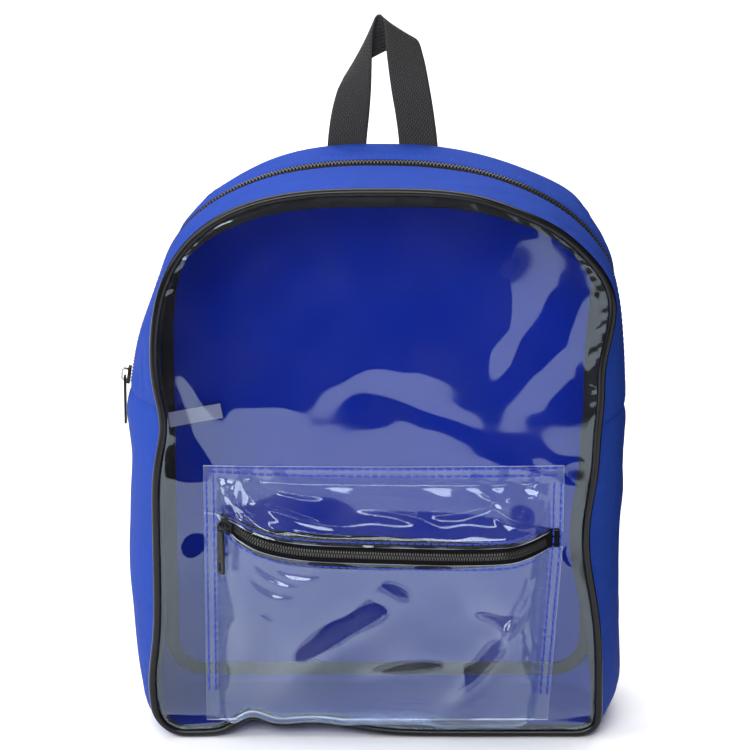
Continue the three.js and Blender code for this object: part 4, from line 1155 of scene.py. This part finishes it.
pocket_sheet("pocket_body", POCKET_BODY_ROWS, POCKET_GRID.body_rows, seed=41)
pocket_sheet("pocket_top", POCKET_TOP_ROWS, POCKET_GRID.top_rows, seed=43)

POCKET_TAPE = Sizes(below=10, above=12.5, end=0.992, sink_run=6, columns=17, rows=130)
# How much of its width the tape shows along the pocket
TAPE_SHOWN = table("share width", (0, 0.6), (0.22, 1), (0.5, 1), (0.85, 0.62), (1, 0.55))
CHAIN_ROWS = 120

tape_u = np.linspace(POCKET_CHAIN.start, POCKET_TAPE.end, POCKET_TAPE.rows)[None, :]
from_right = ramp((1 - tape_u) * POCKET_WIDTH - POCKET.flange, POCKET_TAPE.sink_run)
shown = np.interp(tape_u, column(TAPE_SHOWN, "share"), column(TAPE_SHOWN, "width"))
tape_across = np.linspace(-POCKET_TAPE.below, POCKET_TAPE.above, POCKET_TAPE.columns)[:, None]
tape_place, _, tape_out = pocket_frame(tape_u, tape_across * shown)
pocket_tape_face = tape_place - tape_out * (CLEAR_SHEET + TAPE_GAP) * from_right[..., None]
chain_u = np.linspace(POCKET_CHAIN.start, POCKET_CHAIN.end, CHAIN_ROWS)
from_left = ramp(chain_u * POCKET_WIDTH - POCKET.flange, POCKET.slot_run)
room = POCKET_TOP_ROWS[0].height - POCKET_CHAIN.height - POCKET.slot_draw * (1 - from_left) - GAP
chain_share = np.minimum(room / ZIPPER.chain_half, 1)
pocket_chain = chain_path(pocket_frame(chain_u), chain_share, CLEAR_SHEET + TAPE_GAP)
zipper("pocket_zipper", pocket_tape_face, -1, pocket_chain, POCKET_PITCH)

# Rows of thread across the pocket, two on the top flange and one each side of the zipper
CROSS_THREADS = table(
    "height reach inset",
    (181.4, 0, 0.012), (176.6, 0, 0.012), (142, 26.7, 0.07), (125.2, 27, 0.07),
)
SIDE_THREADS = Sizes(insets=(1.8, 6.2), bottom=29, top=174)
CROSS_POINTS, SIDE_POINTS = 160, 120


def pocket_thread():
    """Thread on the pocket's flanges and beside its zipper."""
    paths = []
    face = np.array([[0, -1, 0]])
    for row in CROSS_THREADS:
        u = np.linspace(row.inset, 1 - row.inset, CROSS_POINTS)
        normals = pocket_frame(u)[2] if row.reach else face.repeat(CROSS_POINTS, axis=0)
        paths.append(np.concatenate([pocket_point(u, row.height, row.reach), normals], axis=1))
    height = np.linspace(SIDE_THREADS.bottom, SIDE_THREADS.top, SIDE_POINTS)
    for inset in SIDE_THREADS.insets:
        for u in (inset / POCKET_WIDTH, 1 - inset / POCKET_WIDTH):
            line = pocket_point(u, height, 0)
            paths.append(np.concatenate([line, face.repeat(SIDE_POINTS, axis=0)], axis=1))
    return stitches("pocket_thread", paths, finish["blue_thread"], length=4.2, radius=0.5, rise=0.2)


dress(pocket_thread(), "blue_cloth")


# Sliders and pulls; the main slider's crown is worn bright

CROWN_DEPTH = 3.2
SLIDER_ROUND, PULL_ROUND = 0.3, 0.25

for slider in ("main_slider", "pocket_slider"):
    dress(bevelled(slider, SLIDER_ROUND, finish["slider_metal"]), "slider_metal", slider)
for pull in ("main_pull", "pocket_pull"):
    dress(bevelled(pull, PULL_ROUND, finish["slider_metal"]), "slider_metal", pull, body=pull)
main_slider = bpy.data.objects["main_slider_shaped"].data
main_slider.materials.append(finish["bright_metal"])
outermost = min(vertex.co.x for vertex in main_slider.vertices)
for face in main_slider.polygons:
    face.material_index = int(face.center.x < outermost + CROWN_DEPTH * MM)


# Webbing

# Upper half of a webbing's section: share of its half width, share of its half thickness
WEB_SECTION = table(
    "across rise",
    (-1, 0), (-0.985, 0.55), (-0.94, 0.92), (-0.8, 1), (-0.4, 1), (0, 1),
    (0.4, 1), (0.8, 1), (0.94, 0.92), (0.985, 0.55), (1, 0),
)
LOOP_POINTS = 240


def section(upper):
    """Across and rise round a whole section from its upper half; points on its middle line aren't doubled."""
    lower = [Sizes(across=row.across, rise=-row.rise) for row in reversed(upper) if row.rise]
    return column(upper + lower, "across")[None, :, None], column(upper + lower, "rise")[None, :, None]


def webbing(node, ending, strip):
    """A strip of webbing for a node; strip holds its centres, half widths and half thicknesses."""
    centres, halves, rises = strip
    across, rise = section(WEB_SECTION)
    sections = centres[:, None] + halves[:, None] * across + rises[:, None] * rise
    piece = sweep(f"{node}_{ending}", sections, finish["black_webbing"])
    dress(piece, "black_webbing", node)


def loop_edge(name):
    """One edge of the haul loop, on a smooth curve through its table, standing on the back's face."""
    rows = [Sizes(x=x, y=y, z=z) for x, y, z in (getattr(row, name) for row in HAUL_LOOP)]
    curve = smooth_rows(rows, LOOP_POINTS)
    stand = back_face(0, rows[0].z) + GAP + WEBBING.thickness / 2
    return np.stack([curve.x, curve.y + stand, curve.z], axis=-1)


outer_edge, inner_edge = loop_edge("outer"), loop_edge("inner")
loop_middle = (outer_edge + inner_edge) / 2
loop_half = (inner_edge - outer_edge) / 2
loop_rise = unit(np.cross(loop_half, np.gradient(loop_middle, axis=0))) * WEBBING.thickness / 2
loop_strip = (loop_middle, loop_half, loop_rise)
webbing("haul_loop", "webbing", loop_strip)


# Shoulder straps

# Upper half of a padded strap's section: share of its half width, share of its half thickness
PAD_SECTION = table(
    "across rise",
    (-1, 0.3), (-0.95, 0.42), (-0.86, 0.62), (-0.7, 0.86), (-0.45, 0.97), (0, 1),
    (0.45, 0.97), (0.7, 0.86), (0.86, 0.62), (0.95, 0.42), (1, 0.3),
)
PAD_QUILT = Sizes(share=0.03, length=30, seed=50)
PAD_ROWS = 90
# Section of the tape round a strap's edge: inwards and stand in millimetres, rise as a share of half the pad
EDGE_TAPE = table(
    "inwards rise stand",
    (5.5, 0.66, 0.63), (2.75, 0.56, 0.63), (0, 0.4, 0.63), (-0.7, 0.2, 0.63),
    (-0.7, -0.2, -0.63), (0, -0.4, -0.63), (2.75, -0.56, -0.63), (5.5, -0.66, -0.63),
    (5.5, -0.56, 0), (0.6, -0.3, 0), (0.6, 0.3, 0), (5.5, 0.56, 0),
)
EDGE_THREAD = Sizes(inwards=4.1, rise=0.64, stand=0.7, ends=2)
LOCK_ROUND = 0.7
TURN_POINTS = 10


def strap(name, side):
    """A padded strap with its edge tapes and thread; gives back its lower end's place and directions."""
    curve = smooth_rows(STRAP_ROWS, PAD_ROWS)
    y = back_face(curve.across, curve.height) + SEAT_GAP + curve.thickness / 2 + curve.behind
    centres = np.stack([side * curve.across, y, curve.height], axis=-1)
    along = unit(np.gradient(centres, axis=0))
    half = unit(np.cross(np.array([0, 1, 0]), along))
    rise = unit(np.cross(along, half))
    half_width, half_thick = (curve.width / 2)[:, None], (curve.thickness / 2)[:, None]

    across, up = section(PAD_SECTION)
    wave = waviness(lengths(centres), PAD_QUILT.length, PAD_QUILT.seed + side)[:, None, None]
    quilt = 1 + PAD_QUILT.share * wave * (1 - across ** 2)
    sections = centres[:, None] + (half * half_width)[:, None] * across
    sections = sections + (rise * half_thick)[:, None] * up * quilt
    pad = sweep(f"shoulder_strap_{name}_pad", sections, finish["strap_cloth"])
    dress(pad, "blue_cloth", f"shoulder_strap_{name}")

    def beside(row, edge):
        aside = half * edge * (half_width - row.inwards)
        return centres + aside + rise * (row.rise * half_thick + row.stand)

    threads = []
    for edge, word in ((-1, "inner"), (1, "outer")):
        tape_sections = np.stack([beside(row, edge) for row in EDGE_TAPE], axis=1)
        dress(sweep(f"strap_binding_{name}_{word}", tape_sections, finish["binding_tape"]), "binding_tape")
        thread = np.concatenate([beside(EDGE_THREAD, edge), rise], axis=1)
        threads.append(thread[EDGE_THREAD.ends:-EDGE_THREAD.ends])
    dress(stitches(f"strap_thread_{name}", threads, finish["black_thread"]), "binding_tape")
    return centres[-1], along[-1], rise[-1]


def half_turn(bar_up, radius, sign):
    """A turn of webbing round a bar: up, out, and the same of its outward normal."""
    angles = np.linspace(math.pi, 0, TURN_POINTS)
    up, out = sign * np.sin(angles), np.cos(angles)
    return np.stack([bar_up + radius * up, radius * out, up, out], axis=1).tolist()


def strap_lower(name, side, end_centre, end_along, end_out):
    """The ladder lock, its loop and the lower webbing with its free tail."""
    lock_node = f"ladder_lock_{name}"
    dress(bevelled(lock_node, LOCK_ROUND, finish["black_plastic"]), "black_plastic", lock_node)
    up_axis, out_axis = -end_along, end_out
    across_axis = np.cross(up_axis, out_axis)
    lock = end_centre + end_along * LOCK.below_strap
    thick = WEBBING.thickness
    radius = math.hypot(LOCK.thickness, LOCK.bar) / 2 + GAP + thick / 2 + TURN_EASE
    half_web = WEBBING.width / 2 - LOWER_WEBBING.trim

    def strip(path):
        path = np.array(path)
        centres = lock + up_axis * path[:, :1] + out_axis * path[:, 1:2]
        normals = unit(up_axis * path[:, 2:3] + out_axis * path[:, 3:4])
        return centres, np.tile(across_axis * half_web, (len(path), 1)), normals * thick / 2

    bar = LOCK.height / 2 - LOCK.bar / 2
    loop_legs = [
        (bar + LOCK_LOOP.legs / 2, radius + LOCK_LOOP.flare),
        (bar + LOCK_LOOP.legs, radius + LOCK_LOOP.end_flare),
    ]
    loop_path = [(up, -out, 0, -1) for up, out in reversed(loop_legs)] + half_turn(bar, radius, -1)
    loop_path += [(up, out, 0, 1) for up, out in loop_legs]
    webbing(f"lock_loop_{name}", "webbing", strip(loop_path))

    tail = LOWER_WEBBING
    path = [(-tail.leave, -radius - tail.flare, 0, -1)] + half_turn(0, radius, 1)
    path += [(-tail.tail_start, radius + tail.flare, 0, 1), (-tail.tail_end, radius + tail.tail_flare, 0, 1)]
    root_half = unit(across_axis * np.array([1, 0, 1])) * half_web
    roots = []
    for height in (STRAP_ROOT.height - STRAP_ROOT.sewn, STRAP_ROOT.height):
        y = back_face(STRAP_ROOT.across, height) + SEAT_GAP + thick / 2
        roots.append((side * STRAP_ROOT.across, y, height))
    sewn = (np.array(roots), np.tile(root_half, (2, 1)), np.tile(np.array([0, -thick / 2, 0]), (2, 1)))
    lower = [np.concatenate(pair) for pair in zip(sewn, strip(path))]
    webbing(f"strap_webbing_{name}", "strip", lower)


for name, side in (("left", -1), ("right", 1)):
    strap_lower(name, side, *strap(name, side))


# Care label, left blank

LABEL_GRID = Sizes(columns=24, rows=8)

label_u, label_v = (share - 0.5 for share in grid_shares(LABEL_GRID.rows, LABEL_GRID.columns))
label_along, label_aside = LABEL.length * label_u, LABEL.width * label_v
tilt_cos, tilt_sin = math.cos(LABEL.tilt), math.sin(LABEL.tilt)
label_x = LABEL.x + label_along * tilt_cos - label_aside * tilt_sin
label_z = LABEL.height + label_along * tilt_sin + label_aside * tilt_cos
label_curl = LABEL.curl * np.clip(label_u - LABEL.flat_to, 0, 1) ** 2
label_y = BACK_Y - 2 * GAP - BACK_BINDING.thickness - LABEL.thickness - label_curl
label_grid = np.stack(np.broadcast_arrays(label_x, label_y, label_z), axis=-1)
# The ribbon's white is darkened and tinted blue: painted shade
label = shell("label_ribbon", label_grid, LABEL.ribbon, -1, finish["white_label"])
dress(label, "white_label", "label")


# Stage: a pale floor, soft lights, a dark card in front that only mirrors see, and a dark flag at the right

FLOOR = Sizes(pale=(0.92, 0.92, 0.93, 1), dull=(0.9, 0.9, 0.91, 1), half=6000, drop=0.2)
CARD = Sizes(right=300, back=-755, height=2, colour=(0.004, 0.004, 0.006, 1))
FLAG = Sizes(x=240, front=-50, back=900, top=600)
WORLD = Sizes(colour=(0.9, 0.94, 1, 1), strength=0.12)


def stage_plane(name, corners, material):
    mesh = bpy.data.meshes.new(name)
    mesh.from_pydata([Vector(corner) * MM for corner in corners], [], [(0, 1, 2, 3)])
    mesh.materials.append(material)
    plane = link(name, mesh)
    return plane


def level(left, front, right, back, height):
    return [(left, front, height), (right, front, height), (right, back, height), (left, back, height)]


floor_nodes = Nodes("floor")
floor_colour = floor_nodes.mix(floor_nodes.noise(scale=9, detail=3), FLOOR.dull, FLOOR.pale)
floor_shader = floor_nodes.add("ShaderNodeBsdfPrincipled", {"Base Color": floor_colour, "Roughness": 0.9})
floor_corners = level(-FLOOR.half, -FLOOR.half, FLOOR.half, FLOOR.half, -FLOOR.drop)
stage_plane("floor", floor_corners, floor_nodes.surface(floor_shader))

card_nodes = Nodes("dark_card")
dark = card_nodes.surface(card_nodes.add("ShaderNodeBsdfDiffuse", {"Color": CARD.colour}))
card = stage_plane("dark_card", level(-FLOOR.half, -FLOOR.half, CARD.right, CARD.back, CARD.height), dark)
card.visible_diffuse = False
flag_sides = [(FLAG.front, 0), (FLAG.back, 0), (FLAG.back, FLAG.top), (FLAG.front, FLAG.top)]
flag = stage_plane("dark_flag", [(FLAG.x, y, z) for y, z in flag_sides], dark)
for plane in (card, flag):
    plane.visible_camera = False
    plane.visible_shadow = False
    plane.visible_transmission = False

world = bpy.data.worlds.new("world")
world.use_nodes = True
background = world.node_tree.nodes["Background"]
background.inputs["Color"].default_value = WORLD.colour
background.inputs["Strength"].default_value = WORLD.strength
bpy.context.scene.world = world
bpy.context.scene.view_settings.view_transform = "Standard"

# Soft boxes: place and aim in millimetres, sides in metres, power in watts
SOFT_BOXES = table(
    "name place aim sides power",
    ("key", (-1500, -500, 1200), (0, 0, 180), (1.0, 1.2), 22),
    ("glint", (-500, -2300, 1450), (0, 0, 180), (2.0, 1.2), 62),
    ("floor", (0, 1600, 2600), (0, 1600, 0), (4.0, 3.0), 158),
    ("overhead", (-100, -850, 2000), (0, -60, 155), (1.2, 0.12), 3),
)
for box in SOFT_BOXES:
    light = bpy.data.lights.new(box.name, "AREA")
    light.shape = "RECTANGLE"
    light.size, light.size_y = box.sides
    light.energy = box.power
    lamp = link(box.name, light)
    lamp.location = Vector(box.place) * MM
    lamp.rotation_euler = (Vector(box.aim) - Vector(box.place)).to_track_quat("-Z", "Y").to_euler()
